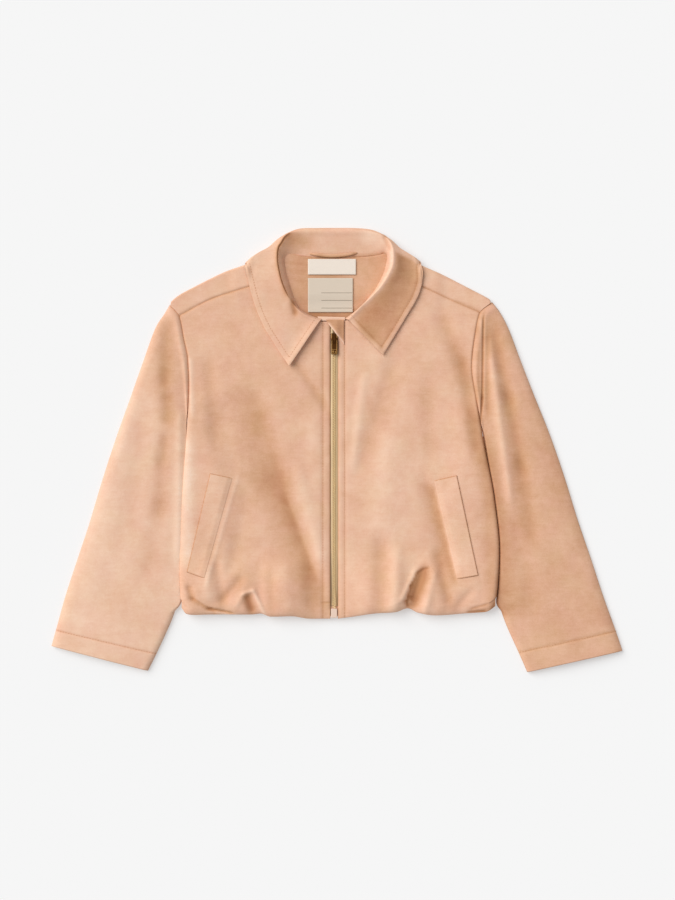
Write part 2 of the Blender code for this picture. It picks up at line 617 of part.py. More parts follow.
def flat_outline(name, splines, thickness, turn, recipe, collection):
    """A plate about its own origin, the later outlines cut out of the first, turned upright if asked."""
    curve = bpy.data.curves.new(name, "CURVE")
    curve.dimensions = "2D"
    curve.fill_mode = "BOTH"
    curve.extrude = thickness * MM / 2
    for outline in splines:
        spline = curve.splines.new("POLY")
        spline.points.add(len(outline) - 1)
        for point, (x, y) in zip(spline.points, outline):
            point.co = (x * MM, y * MM, 0, 1)
        spline.use_cyclic_u = True
    drawn = bpy.data.objects.new(name + "_outline", curve)
    collection.objects.link(drawn)
    bpy.context.view_layer.update()
    mesh = bpy.data.meshes.new_from_object(drawn.evaluated_get(bpy.context.evaluated_depsgraph_get()))
    mesh.name = name
    bm = bmesh.new()
    bm.from_mesh(mesh)
    bmesh.ops.remove_doubles(bm, verts=bm.verts, dist=0.00001)
    if turn:
        upright = Matrix.Rotation(math.pi / 2, 4, "X")
        bmesh.ops.transform(bm, matrix=Matrix.Rotation(math.pi / 2, 4, "Z") @ upright, verts=bm.verts)
    bm.to_mesh(mesh)
    bm.free()
    bpy.data.objects.remove(drawn, do_unlink=True)
    mesh.materials.clear()
    return place_object(name, mesh, recipe, collection, smooth=False)


def rounded_rectangle(left, right, low, high, radius, steps):
    """The outline of a rectangle with round corners, anticlockwise from its upper right one."""
    points = []
    corners = ((right, high, 0), (left, high, 90), (left, low, 180), (right, low, 270))
    for x, y, start in corners:
        cx = x - radius if x == right else x + radius
        cy = y - radius if y == high else y + radius
        for step in range(steps + 1):
            angle = math.radians(start + 90 * step / steps)
            points.append((cx + radius * math.cos(angle), cy + radius * math.sin(angle)))
    return points


def zip_slider(collection, cutters):
    """The slider's body with the bail that holds the pull tab, joined into one solid."""
    top = TAPE_TOP + SEAM + SLIDER_SIZE[2]
    centre = (ZIP_X, SLIDER_Y, top - SLIDER_SIZE[2] / 2)
    body = block("zip_slider", SLIDER_SIZE, centre, BRONZE, collection, bevel=0.8)
    low, high = BAIL_Y
    foot, under, over = top - 0.6, HINGE_Z + 1.0, HINGE_Z + 1.0 + BAIL_BAR
    outline = [(low, foot), (low, over - 0.5), (low + 0.6, over), (high - 0.8, over), (high, over - 0.8),
               (high, foot), (high - BAIL_BAR, foot), (high - BAIL_BAR, under),
               (low + BAIL_BAR, under), (low + BAIL_BAR, foot)]
    bail = flat_outline("bail", [outline], BAIL_WIDTH, True, BRONZE, cutters)
    bail.location = (ZIP_X * MM, 0, 0)
    bail.hide_render = True
    bail.display_type = "WIRE"
    union = body.modifiers.new("bail", "BOOLEAN")
    union.operation = "UNION"
    union.object = bail


def pull_tab(collection):
    """A flat tab whose eye goes round the bail. Its origin is on the hinge."""
    half = TAB_WIDTH / 2
    plate = rounded_rectangle(-half, half, TAB_BAR - TAB_LENGTH, TAB_BAR, 0.9, 4)
    eye_half = TAB_EYE[0] / 2
    eye = rounded_rectangle(-eye_half, eye_half, -TAB_BAR - TAB_EYE[1], -TAB_BAR, 0.3, 2)
    tab = flat_outline("pull_tab", [plate, eye], TAB_THICK, False, BRONZE, collection)
    tab.location = (ZIP_X * MM, HINGE_Y * MM, HINGE_Z * MM)


def zip_pieces(collection, cutters):
    for side, name in ((-1, "right"), (1, "left")):
        near, far = ZIP_X + side * SEAM, ZIP_X + side * TAPE_WIDTH
        corners = [Corner(far, TAPE_START), Corner(near, TAPE_START),
                   Corner(near, TAPE_END), Corner(far, TAPE_END)]
        grid = laid_grid(corners, 4, 1, lambda x, y: TAPE_TOP)
        cloth(f"zip_tape_{name}", grid, TAPE_CLOTH, collection, flip=side < 0, wall=TAPE)
    cloth("zip_chain", chain_grid(), BRASS, collection, flip=True, wall=CHAIN_THICK)
    stop_z = HEM_FOLD + 2 * SEAM + STOP_SIZE[2] / 2
    block("zip_stop", STOP_SIZE, (ZIP_X - 0.3, STOP_Y, stop_z), MOULDED, collection, bevel=0.6)
    zip_slider(collection, cutters)
    pull_tab(collection)
    cloth("zip_garage", garage_grid(), SUEDE, collection, flip=True)


def neck_pieces(collection):
    """What shows inside the neck: the two labels, the hanger loop and the band between the collar's ends."""
    cloth("size_label", label_grid(SIZE_LABEL, 3, 5), LABEL_SATIN, collection, flip=True, wall=TAPE)
    cloth("name_label", label_grid(NAME_LABEL, 8, 5), LABEL_NAME, collection, flip=True, wall=TAPE)
    cloth("hanger_loop", loop_grid(), SUEDE, collection)
    band = laid_grid(NECK_BAND, 2, 6, lambda x, y: BAND_TOP)
    cloth("neck_band", band, SUEDE, collection, flip=True)


def main():
    for old in list(bpy.data.objects):
        bpy.data.objects.remove(old, do_unlink=True)
    jacket = bpy.data.collections.new("zip_jacket")
    bpy.context.scene.collection.children.link(jacket)

    grid, open_neck = back_grid()
    cloth("back", grid, SUEDE, jacket, flip=True, skipped=open_neck)
    for side, name in ((-1, "right"), (1, "left")):
        cloth(f"front_{name}", front_grid(side), SUEDE, jacket, flip=side > 0)
        cloth(f"sleeve_{name}", sleeve_grid(side), SUEDE, jacket, flip=side < 0, ring=True)
        cloth(f"welt_{name}", welt_grid(side), SUEDE, jacket, flip=side < 0)
    cloth("collar", collar_grid(), SUEDE, jacket, flip=True)
    cutters = bpy.data.collections.new("cutters")
    bpy.context.scene.collection.children.link(cutters)
    zip_pieces(jacket, cutters)
    neck_pieces(jacket)


main()
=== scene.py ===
"""Dresses the child's zip jacket: finer cloth on the form of each CAD panel, the zip, labels and stitches.

X runs to the wearer's left, Y from the hem up to the collar, Z up. Sizes in the tables are in
millimetres and become metres when a mesh is made.
"""

import json
import math
from collections import namedtuple

import bpy
import numpy as np
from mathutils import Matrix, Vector, noise
from mathutils.bvhtree import BVHTree

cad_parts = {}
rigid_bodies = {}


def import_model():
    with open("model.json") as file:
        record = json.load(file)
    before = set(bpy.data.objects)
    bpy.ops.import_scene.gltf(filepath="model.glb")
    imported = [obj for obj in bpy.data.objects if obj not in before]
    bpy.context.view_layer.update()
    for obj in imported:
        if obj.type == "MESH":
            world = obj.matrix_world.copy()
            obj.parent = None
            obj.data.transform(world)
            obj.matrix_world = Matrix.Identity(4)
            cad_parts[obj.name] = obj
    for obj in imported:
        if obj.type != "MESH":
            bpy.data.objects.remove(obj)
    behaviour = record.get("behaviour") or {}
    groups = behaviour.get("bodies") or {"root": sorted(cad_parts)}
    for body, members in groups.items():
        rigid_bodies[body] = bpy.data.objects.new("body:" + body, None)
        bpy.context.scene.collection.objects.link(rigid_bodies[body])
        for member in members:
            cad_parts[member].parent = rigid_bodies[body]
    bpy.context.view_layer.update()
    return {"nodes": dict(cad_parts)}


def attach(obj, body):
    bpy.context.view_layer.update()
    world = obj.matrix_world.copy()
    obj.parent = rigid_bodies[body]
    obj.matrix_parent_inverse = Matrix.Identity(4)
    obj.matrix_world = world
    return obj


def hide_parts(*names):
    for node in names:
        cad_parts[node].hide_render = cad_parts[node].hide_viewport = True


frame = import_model()

bl_info = {
    "name": "Suede-look zip jacket",
    "version": (1, 0, 0),
    "blender": (4, 5, 0),
    "location": "View3D > Sidebar > Jacket",
    "description": "Builds the jacket's cloth, zip, labels, stitches and studio round its CAD frame",
    "category": "Object",
}

MM = 0.001
BODY = "jacket"
OUTER_TONE, INNER_TONE = "nap", "inner_nap"  # tone attributes of the outer face and of the inner one: painted shade and painted light
SIDES = ((-1, "right"), (1, "left"))  # the sign of X and the wearer's side

# Heights of the layers, as in the CAD solids.
LOWEST = 0.05        # the cloth's outer face keeps this far above the floor
SHELL_TOP = 4.6      # outer face of the fronts
HEM_FOLD = 3.9       # outer face of the back's hem where it is turned up
SLEEVE_TUCK = 2.7    # upper layer of a sleeve at its inner edge
SLEEVE_LIFT = 3.0    # how far a sleeve raises the body that lies on it
LEAF_LIFT = 1.5      # how far the collar's leaf raises the shoulders
LEAF_TOP = 2.3       # outer face of the collar's leaf above the front that it lies on
NECK_DIP = 2.6       # how far a front sinks at its neckline under the collar
# Widths and lengths.
NECK = 63.0          # half the width of the neck at the fold of the shoulder
NECKLINE = 59.0      # half the width within which the fronts' top edge is the neckline
SEAM_START = 57.0    # how far from the middle the shoulder seam starts
SEAM_SHOWN = 50.0    # how far from the middle its groove starts
LIFT_START = {-1: 60.0, 1: 46.0}  # about how far up, along Y, a sleeve raises the back
FRONT_LIFT = {-1: 82.0, 1: 66.0}  # and a front
UNDERARM = {-1: 44.0, 1: 28.0}    # about where the armhole ends and the side seam starts
TOPSTITCH = 6.0      # collar topstitching, from the edge
PLACKET_STITCH = {-1: 8.6, 1: 7.4}  # topstitching of each front, from its edge at the zip
SEAM_TUCK = 1.0      # how far the back runs on under a front past the shoulder seam
FRONT_LENGTH = 370.0
BACK_LENGTH = 400.0
SLEEVE_WIDTH = 140.0
SLEEVE_ROW = 36.0    # about as far as from one row of a sleeve's table to the next
CUFF_ROW = 30.0      # and near the cuff
HEM_PART = 0.7       # share of a front above its finely meshed hem
HEM_ROLL = 11.0      # how far up the bubble hem starts to roll under
HEM_TURN = 7.0       # how far it runs up again beneath
HEM_SET_BACK = 2.5   # how far the back's hem lies inside the fronts' hem
HEM_TURNED = 12.0    # how far the back's hem is turned up
HEM_LEVEL = -178.0   # where the back's columns are matched with the fronts'
NECK_TOP = 221.5     # the back's fold at the middle of the neck, and how much higher it is at the ends
NECK_RISE = 8.0
FOLD_FADE = 0.1      # how far a fold runs out past its ends, as a share of its length
ZIP_X = -3.0
ZIP_TOP, ZIP_FOOT = 146.0, -181.0
TAPE_INNER, TAPE_OUTER = 0.3, 13.0  # from the zip's middle
STITCH_FOOT = -190.0  # where the topstitching beside the zip ends
TEETH_TOP = 120.4    # the chain starts under the slider
TAPE_TOP = 2.7       # a tape's face, with a bead of this height at this distance from the chain's middle
BEAD_HEIGHT, BEAD_AT = 1.5, 2.4
CHAIN_LIE = 4.4      # middle of the teeth, and how far they rise over the hem
CHAIN_RISE = 1.9
SLIDER_Y = 133.5     # where the zip garage is highest
GARAGE_LIE = 6.7     # the zip garage's face beside the slider, and its hump over it
GARAGE_HUMP = 1.6
BAND_LIE = 3.9       # the neck band's face
LOOP_LIE = 5.6       # the hanger loop's face, and how far its ends sink
LOOP_SINK = 1.8
WELT_LIE = 1.3       # a welt's face above its front, and at the mouth
MOUTH_LIE = 0.3
LABEL_LIE = 2.9      # a label's face above the back
RULES = (180.2, 171.6, 162.8)  # lower edges of the ruled lines on the name label
RULE_ENDS = (-18.0, 17.2)
RULE_WIDTH = 0.45
RULE_LIE = 0.12      # face of the print above the label
STITCH_LIE = 0.05    # middle of the thread above the cloth
SMALL_WALL = 1.2     # cloth of the small pieces
LABEL_WALL = 0.6
TAPE_WALL = 0.8
RULE_WALL = 0.1
SMALL_GRAIN = 1.2    # from point to point of their meshes
LABEL_GRAIN = 2.0
TAPE_GRAIN = 1.0
# Floor and light.
FLOOR_REACH = 9000.0
FLOOR_LEVEL = -0.3
FLOOR_GLOW = 0.72
SKY_GLOW = 0.45
SUN_ENERGY = 2.72
SUN_WIDTH = math.radians(50)
SUN_FROM = (-0.74, 0.46, 0.78)  # direction from the jacket to the light
VIEW_HEIGHT = 1.035  # metres seen along the view's longer side
VIEW_X = 0.0006      # metres from the middle to the camera
LENS, FILM = 85.0, 36.0

Edge = namedtuple("Edge", "y x")
Line = namedtuple("Line", "x y")
Bubble = namedtuple("Bubble", "x height")
Fold = namedtuple("Fold", "name x0 y0 x1 y1 width height tone lean", defaults=[0.0])
Station = namedtuple("Station", "outer_x outer_y near_x near_y fold_x fold_y height bow", defaults=[0.0])
Collar = namedtuple("Collar", "seam_x seam_y seam_z crest_x crest_y crest_z bend_x bend_y edge_x edge_y"
                    " under", defaults=[0.0])
Bar = namedtuple("Bar", "x y z wide long high")
Strip = namedtuple("Strip", "across drop tone")

# Armhole and side edge of the body, from the shoulder down. -1 is the wearer's right, 1 the left.
SIDE = {
    -1: [Edge(168, -193.5), Edge(154, -181.5), Edge(128, -176), Edge(103, -171.2), Edge(73, -170),
         Edge(48, -170.7), Edge(20, -172.5), Edge(-54, -177.7), Edge(-100, -179.5),
         Edge(-142, -180.8), Edge(-169, -179.4), Edge(-182, -176)],
    1: [Edge(170.8, 179.5), Edge(158, 164.5), Edge(140, 160), Edge(96, 155), Edge(62, 159.5),
        Edge(33, 164.5), Edge(11, 168), Edge(-56, 180.6), Edge(-116, 186.3), Edge(-147, 185.2),
        Edge(-170, 182.5), Edge(-182, 177)],
}
# Top edge of each front: neckline, then the forward shoulder seam.
FRONT_TOP = {
    -1: [Line(-7.6, 147.5), Line(-18, 147.5), Line(-33, 152), Line(-44, 161), Line(-50.5, 173),
         Line(-54.5, 187), Line(-58.5, 199.5), Line(-106, 186), Line(-143, 174), Line(-181.5, 154)],
    1: [Line(1.2, 147.5), Line(10, 148.5), Line(24, 158), Line(36, 170), Line(45, 182),
        Line(52, 193), Line(57, 202), Line(96.6, 188), Line(131, 172.5), Line(164.5, 158)],
}
# Fold of the shoulder.
SHOULDER = {
    -1: [Line(-193.5, 168), Line(-183, 177), Line(-164, 187.4), Line(-146, 196.6), Line(-128, 205),
         Line(-112, 210.6), Line(-100, 214.5), Line(-80, 219), Line(-63, 229)],
    1: [Line(63, 229), Line(80, 218), Line(92, 214), Line(104, 209), Line(121, 201.5),
        Line(139, 192.4), Line(158, 182.6), Line(170, 176.4), Line(179.5, 170.8)],
}
HEM = {
    -1: [Line(-7.6, -193.5), Line(-31, -193.5), Line(-54, -190.5), Line(-78, -191), Line(-90, -187.5),
         Line(-101, -188.5), Line(-150, -188.5), Line(-170, -189), Line(-178.5, -187.5),
         Line(-181.5, -181)],
    1: [Line(1.2, -193.5), Line(18, -191), Line(40, -187.5), Line(62, -185.8), Line(74, -181.5),
        Line(86, -186.5), Line(105, -189.5), Line(140, -187), Line(158, -185.5), Line(164.5, -179)],
}
# How high a front's side edge lies above the back, and how wide it rolls up from there.
SIDE_RISE = {-1: 3.6, 1: 2.2}
SIDE_ROLL = {-1: 8.0, 1: 6.0}
# Height that the bubble hem adds, across each front.
BUBBLE = {
    -1: [Bubble(-7.6, 2.8), Bubble(-20, 4.5), Bubble(-45, 8.0), Bubble(-75, 10.0), Bubble(-90, 6.0),
         Bubble(-108, 8.5), Bubble(-135, 7.5), Bubble(-160, 6.5), Bubble(-181.5, 4.0)],
    1: [Bubble(1.2, 2.8), Bubble(15, 4.5), Bubble(40, 8.5), Bubble(68, 10.5), Bubble(88, 4.5),
        Bubble(104, 9.5), Bubble(130, 8.5), Bubble(150, 6.0), Bubble(164.5, 4.0)],
}
# Folds of each front, large and soft. Height above 0 is a ridge, below 0 a trough. Seen along its line,
# a fold with lean above 0 is steep on its left and gentle on its right, and the other way round below 0.
# Tone is painted shade and light along it, from -1, darkest, to 1, lightest: mostly painted shade in troughs,
# painted highlight on ridges.
FOLDS = {
    -1: [Fold("chest hollow", -92, 48, -70, -30, 22, -1.7, -0.45, 0.35),
         Fold("waist hollow", -64, -38, -22, -158, 20, -2.1, -0.40, 0.45),
         Fold("waist line", -58, -60, -30, -136, 6.5, -0.5, -0.45, 0.4),
         Fold("waist swell", -43, -30, -20, -120, 10, 1.2, 0.35),
         Fold("armhole hollow", -147, 92, -140, 20, 10, -1.2, -0.25),
         Fold("armhole band", -168, 100, -166, 45, 4, 0.5, 0.50),
         Fold("placket swell", -26, 20, -18, -110, 14, 1.2, 0.20),
         Fold("collar drag", -46, 98, -14, 50, 6, -1.1, -0.35),
         Fold("side band", -171, 0, -171, -118, 10, 0.8, 0.65),
         Fold("pocket mouth hollow", -104, -62, -122, -136, 13, -0.6, 0.0),
         Fold("pocket end swell", -128, -112, -134, -150, 9, 1.0, 0.30),
         Fold("bubble hollow", -137, -134, -131, -170, 7, -1.8, -0.25),
         Fold("bubble swell", -149, -138, -147, -166, 8, 1.2, 0.30),
         Fold("hip slope", -112, -150, -127, -168, 7, -2.4, -0.35),
         Fold("hem hollow", -76, -150, -76, -178, 7, -1.8, -0.25),
         Fold("hem swell", -60, -140, -56, -178, 12, 1.3, 0.15),
         Fold("placket hollow", -33, -140, -30, -178, 10, -1.2, -0.20)],
    1: [Fold("chest hollow", 63, 92, 34, -6, 15, -1.7, -0.25, -0.2),
        Fold("shoulder hollow", 122, 147, 140, 103, 11, -1.9, -0.45),
        Fold("underarm hollow", 146, 92, 159, 6, 10, -1.7, -0.60),
        Fold("side hollow", 105, 72, 108, 0, 12, -1.0, -0.25),
        Fold("placket swell", 30, 75, 20, -10, 7, 1.0, 0.30),
        Fold("middle swell", 62, 0, 56, -100, 22, 1.2, 0.15),
        Fold("pocket side hollow", 104, -44, 127, -128, 9, -1.8, -0.35, 0.3),
        Fold("side lower hollow", 172, -20, 176, -150, 12, -0.8, -0.35),
        Fold("hem hollow", 51, -112, 50, -176, 12, -2.8, -0.40),
        Fold("hem swell", 69, -122, 65, -176, 8, 1.4, 0.15),
        Fold("pleat swell", 110, -144, 102, -180, 6, 1.6, 0.20),
        Fold("hip hollow", 117, -124, 127, -170, 8, -2.4, -0.55),
        Fold("corner slope", 137, -180, 152, -164, 6, -1.2, -0.15)],
}
# Sharp creases, most of them where the bubble hem is gathered under.
# Their tone is painted shade in the creases and recesses and painted light on their lips.
CREASES = {
    -1: [Fold("welt fold", -117, -42, -147, -146, 3.0, 0.5, 0.30),
         Fold("side dimple", -169, -159, -166, -169, 4.5, -2.4, -0.65),
         Fold("corner tuck", -163, -171, -141, -185, 2.4, -1.8, -0.60, 0.4),
         Fold("hem slit", -145, -181, -121, -186, 2.0, -3.0, -0.90, 0.5),
         Fold("slit lip", -144, -185.4, -118, -189, 2.2, 1.0, 0.60),
         Fold("arch, outer leg", -107, -166, -114, -176, 4.2, 1.2, 0.15),
         Fold("arch, top", -107, -165, -97, -161, 2.8, 1.4, 0.35),
         Fold("arch, inner leg", -94, -164, -83, -188, 2.8, 2.2, 0.55),
         Fold("arch recess", -102, -170, -98, -182, 5.6, -3.2, -1.20),
         Fold("placket bar", -16, -175, -8, -175, 1.3, -0.5, -0.35)],
    1: [Fold("welt shade", 112, -52, 133.5, -142, 4.8, -0.8, -0.65, 0.5),
        Fold("comma recess", 98, -142, 87.5, -172, 7.4, -4.2, -1.50, -0.3),
        Fold("comma lip", 89, -141, 76, -168, 3.6, 1.7, 0.25),
        Fold("comma head", 103, -135.5, 92, -141, 1.7, -1.2, -0.70),
        Fold("comma line", 91.5, -142, 84.5, -155, 2.4, -0.8, -0.90, -0.7),
        Fold("comma stem", 84, -156, 80, -171, 2.4, -0.8, -1.05, -0.7),
        Fold("comma curl", 79.3, -173, 81, -178, 2.0, -2.6, -1.30),
        Fold("comma hook", 82, -168, 88, -170, 1.5, -1.2, -1.10),
        Fold("comma bead", 84.5, -173.5, 86, -174.5, 2.2, 1.4, 0.45),
        Fold("corner slit", 152, -185.5, 168, -184.5, 1.7, -2.2, -1.10),
        Fold("corner fold", 155, -181.5, 170, -177, 1.5, -1.0, -0.55)],
}
# Sleeves, from the armhole to the cuff: outer edge, the point where the body covers it (or a point
# just inside the inner edge), inner edge, height, and how far the section bows along the armhole.
SLEEVE = {
    -1: [Station(-195, 166.8, -171.5, 47, -169.5, 42, 4.6, 1.0),
         Station(-200.5, 156, -174.5, 38, -171, 29, 6.0, 0.7),
         Station(-210, 139, -176.5, 22, -167.5, 10, 6.3, 0.35),
         Station(-222.5, 102, -178.5, -6, -159, -19, 6.3),
         Station(-238, 58, -180.5, -40, -150, -54, 6.2),
         Station(-254, 13, -182.2, -75, -152, -88, 6.3),
         Station(-270, -36, -183.5, -108, -159, -118, 6.2),
         Station(-285, -86, -184.5, -137, -168, -143, 6.3),
         Station(-299, -128, -184.5, -163, -180, -168, 6.2),
         Station(-312, -168, -196, -197.5, -190.5, -197, 6.2),
         Station(-321.5, -202, -210.5, -230, -205, -229, 6.2),
         Station(-328, -225, -222.5, -252, -217, -253.5, 6.0)],
    1: [Station(180.5, 170, 166.5, 30, 164.5, 25, 4.6, 1.0),
        Station(188.5, 158.5, 171, 18, 167.5, 10, 6.0, 0.7),
        Station(198, 139, 175.5, 0, 164.5, -10, 6.3, 0.35),
        Station(212, 100, 180.5, -30, 158, -41, 6.3),
        Station(226, 64, 185.5, -62, 152, -72, 6.2),
        Station(244, 19, 188.5, -92, 158, -101, 6.3),
        Station(261, -30, 190.5, -120, 166, -127, 6.2),
        Station(276.5, -80, 190, -147, 176, -152, 6.3),
        Station(291.5, -124, 190, -170, 184.5, -173, 6.2),
        Station(306, -168, 200, -201, 194.5, -201, 6.2),
        Station(320, -207, 215, -236.5, 210, -235.5, 6.2),
        Station(328, -230.5, 224, -254, 218.5, -255, 6.0)],
}
# Folds of each sleeve, as on the fronts: their tone is painted shade in the troughs and painted light on the
# ridges.
SLEEVE_FOLDS = {
    -1: [Fold("head valley", -195, 138, -197, 80, 11, -1.6, -0.45),
         Fold("head pit", -197, 90, -198, 80, 7, -0.5, -0.25),
         Fold("armpit valley", -195, 58, -195, 36, 9, -1.6, -0.55),
         Fold("armpit lower valley", -197, 12, -200, -10, 9, -1.6, -0.55),
         Fold("inner valley", -200, -26, -202, -64, 12, -1.3, -0.45),
         Fold("inner lower valley", -205, -76, -214, -130, 13, -0.8, -0.22),
         Fold("inner swell", -180, 30, -182, -110, 6, 1.0, 0.25),
         Fold("elbow hollow", -224, 30, -234, -70, 18, -1.0, -0.15),
         Fold("outer swell", -240, 20, -280, -150, 18, 1.0, 0.12)],
    1: [Fold("armhole crease", 168, 148, 166.8, 62, 1.5, -1.4, -0.90),
        Fold("armhole lower crease", 166.8, 60, 164.8, 34, 1.5, -1.4, -0.90),
        Fold("armhole ridge", 162, 136, 161, 60, 3.6, 0.3, -0.35),
        Fold("armhole shade", 173, 128, 173, 50, 3.6, -0.8, -0.45),
        Fold("head valley", 181, 132, 196, 60, 8, -2.0, -0.40),
        Fold("inner ridge", 178, 96, 197, -44, 6.5, 1.8, 0.40),
        Fold("elbow valley", 198, 56, 211, -20, 9, -1.8, -0.40),
        Fold("elbow lower valley", 211, -20, 222, -92, 11, -1.4, -0.35),
        Fold("lower valley", 206, -86, 222, -170, 12, -0.8, -0.12),
        Fold("outer hollow", 240, 20, 282, -110, 14, -1.0, -0.15)],
}
# Topstitching of each sleeve's hem, from its lower X end to its higher one.
SLEEVE_HEM = {-1: [Line(-320, -207.4), Line(-209, -233.6)], 1: [Line(210.5, -231.8), Line(320, -207.9)]}
# Share of a sleeve's width over which it dips to the body's side, and the painted shadow of the body on it
# there; below 0 it is painted light in the groove.
SLEEVE_FALL = {-1: 0.012, 1: 0.04}
BODY_SHADE = {-1: -0.1, 1: 0.8}
# Where a sleeve ends beside the body, out from its side, and how much painted shade darkens the front along
# its edge.
SLEEVE_MEETS = {-1: -1.6, 1: 0.4}
EDGE_SHADE = {-1: 0.0, 1: 0.7}
# Painted light and shade over each sleeve and front as a whole, and how much darker a sleeve is painted near
# the shoulder.
SLEEVE_TONE = {-1: 0.30, 1: -0.20}
SLEEVE_TOP_SHADE = {-1: 0.3, 1: 0.0}
FRONT_TONE = {-1: -0.02, 1: 0.10}
# Wrinkles of the back inside the neck, painted as lines of shade with no height of their own, and the painted
# shadow under the hanger loop.
NECK_WRINKLES = [Fold("upper wrinkle", -56, 215, -36, 213, 2.4, 0.0, -0.25),
                 Fold("middle wrinkle", -56, 207, -38, 206, 2.2, 0.0, -0.20),
                 Fold("lower wrinkle", -50, 196, -38, 194, 2.4, 0.0, -0.20),
                 Fold("loop shade", -30, 221, 24, 221, 2.5, 0.0, -0.40)]
# How far each free edge of the collar stands up.
EDGE_LIFT = {(-1, "outer"): 0.0, (1, "outer"): 1.2, (-1, "front"): 3.2, (1, "front"): 1.6}
# Dimples of the collar, at the foot of its right roll and on its left one, and shallow dips inside it at the
# back; their tone is painted shade.
COLLAR_FOLDS = [
    Fold("roll dimple", -50.5, 168, -48, 158, 3.8, -1.6, -1.10),
    Fold("left roll crease", 55, 243, 60, 231, 2.6, -1.4, -0.55),
    Fold("stand shade", -52, 244, -34, 238, 9.0, -0.6, -0.45),
    Fold("stand shade below", -48, 232, -20, 230, 6.0, -0.3, -0.20),
    Fold("left stand shade", 30, 232, 50, 236, 8.0, -0.3, -0.15),
]
# Collar from its right front end, round the back of the neck, to its left front end.
COLLAR = [
    Collar(-17.5, 150.3, 4.6, -20, 147.5, 9.0, -50.5, 102, -54.6, 96),
    Collar(-31.5, 155, 4.213, -34, 153.5, 9.0, -60, 116, -64, 109.5),
    Collar(-43.3, 162.8, 2.175, -45.5, 162, 10.0, -69, 129.5, -73, 123.5),
    Collar(-48.6, 173.8, 1.5, -53.5, 172, 11.0, -77.5, 143, -82, 138),
    Collar(-52.4, 187.8, 1.5, -61.5, 187, 12.0, -85.5, 159, -90, 155),
    Collar(-56.6, 201, 1.5, -66.5, 204, 12.8, -92, 176, -96.5, 173),
    Collar(-58.8, 212, 1.5, -68.7, 219, 13.0, -96.5, 195, -101.5, 193),
    Collar(-59.4, 216.5, 1.5, -68, 230, 12.6, -100.6, 211.5, -105.8, 212),
    Collar(-59, 218.8, 1.5, -67, 233.6, 12.4, -103.4, 214.8, -104, 214, 0.5),
    Collar(-58, 221, 1.5, -64.3, 237.5, 12.0, -95, 223.5, -97, 214.5, 1),
    Collar(-54.5, 222.6, 1.5, -61, 243.5, 11.0, -82.5, 230, -87, 207, 1),
    Collar(-49, 222.8, 1.5, -55.5, 248.5, 9.0, -65.5, 244, -76, 201, 1),
    Collar(-41, 222.2, 1.606, -43, 251.5, 7.0, -46, 253.5, -54, 197, 1),
    Collar(-21, 221.2, 2.4, -22, 252, 6.4, -22, 254.8, -26, 194.5, 1),
    Collar(0, 220.8, 2.4, 0, 252, 6.4, 0, 255, 0, 194, 1),
    Collar(20, 221.2, 2.4, 20, 252, 6.4, 20, 254.8, 24, 194.5, 1),
    Collar(38, 222.4, 2.4, 39, 250.5, 7.0, 42, 252.2, 50, 197, 1),
    Collar(48, 223.6, 2.4, 52, 246, 9.0, 62, 241.5, 70, 201, 1),
    Collar(54, 225.2, 2.4, 59.5, 240, 11.5, 76, 229, 78, 205, 1),
    Collar(56.5, 223.2, 2.4, 61.5, 236.3, 13.4, 84, 224.5, 86.5, 211, 1),
    Collar(57, 220, 2.4, 63.3, 230.5, 15.0, 94.3, 216, 94.6, 215.3, 0.5),
    Collar(56.5, 215.5, 2.4, 64, 225, 16.0, 92.5, 209.5, 97.3, 209.5),
    Collar(54.5, 206.5, 2.4, 63.5, 212, 17.0, 93, 193.5, 97.4, 192),
    Collar(50.5, 197, 2.4, 58.5, 200, 16.0, 86.5, 176, 91, 172.5),
    Collar(43.5, 184.5, 2.4, 51, 188, 14.0, 77, 160, 81.5, 156.5),
    Collar(34, 172.5, 2.4, 40, 176, 11.5, 67.5, 144, 72, 140.5),
    Collar(22, 160.5, 3.306, 26.5, 163.5, 9.5, 58, 129, 62.5, 125),
    Collar(9.5, 151, 4.6, 13, 149.5, 9.0, 47.5, 114, 52.6, 108.9),
]
# Welts: upper outer, upper inner, lower inner and lower outer corner.
WELT = {
    -1: [Line(-145.5, -26.7), Line(-119.6, -32.2), Line(-151.5, -147), Line(-172, -139.7)],
    1: [Line(137.4, -29), Line(111.3, -35.1), Line(137.4, -147.7), Line(161.8, -143.5)],
}
WELT_TONE = {-1: 0.10, 1: 0.15}
# Raised edges of the pull tab and of the slider, in a lighter metal that is partly wear and partly a painted
# highlight: centre and size of each bar.
TAB_RIM = [Bar(-5.9, 118, 7.65, 0.5, 15, 0.35), Bar(-0.1, 118, 7.65, 0.5, 15, 0.35),
           Bar(-3, 110.3, 7.65, 5.6, 0.6, 0.35), Bar(-3, 115.2, 7.65, 5.2, 0.5, 0.3),
           Bar(-4.4, 112.8, 7.65, 1.4, 2.2, 0.5), Bar(-1.7, 112.4, 7.65, 1.2, 1.6, 0.5)]
SLIDER_RIM = [Bar(-6.1, 131, 6.0, 0.7, 5.0, 0.5), Bar(0.1, 131, 6.0, 0.7, 5.0, 0.5)]
# Corners of the small pieces: upper right, upper left, lower left and lower right.
GARAGE = [Line(-12.5, 149.6), Line(8.2, 149.6), Line(8.2, 121.0), Line(-9.6, 144.2)]
NECK_BAND = [Line(-22.5, 153.4), Line(9.5, 152.6), Line(9.5, 148.2), Line(-20.5, 148.2)]
SIZE_LABEL = [Line(-33.4, 219.4), Line(21.9, 219.4), Line(21.9, 201.3), Line(-33.4, 201.3)]
NAME_LABEL = [Line(-33.4, 197.5), Line(18.4, 197.5), Line(18.4, 158.2), Line(-33.4, 158.2)]
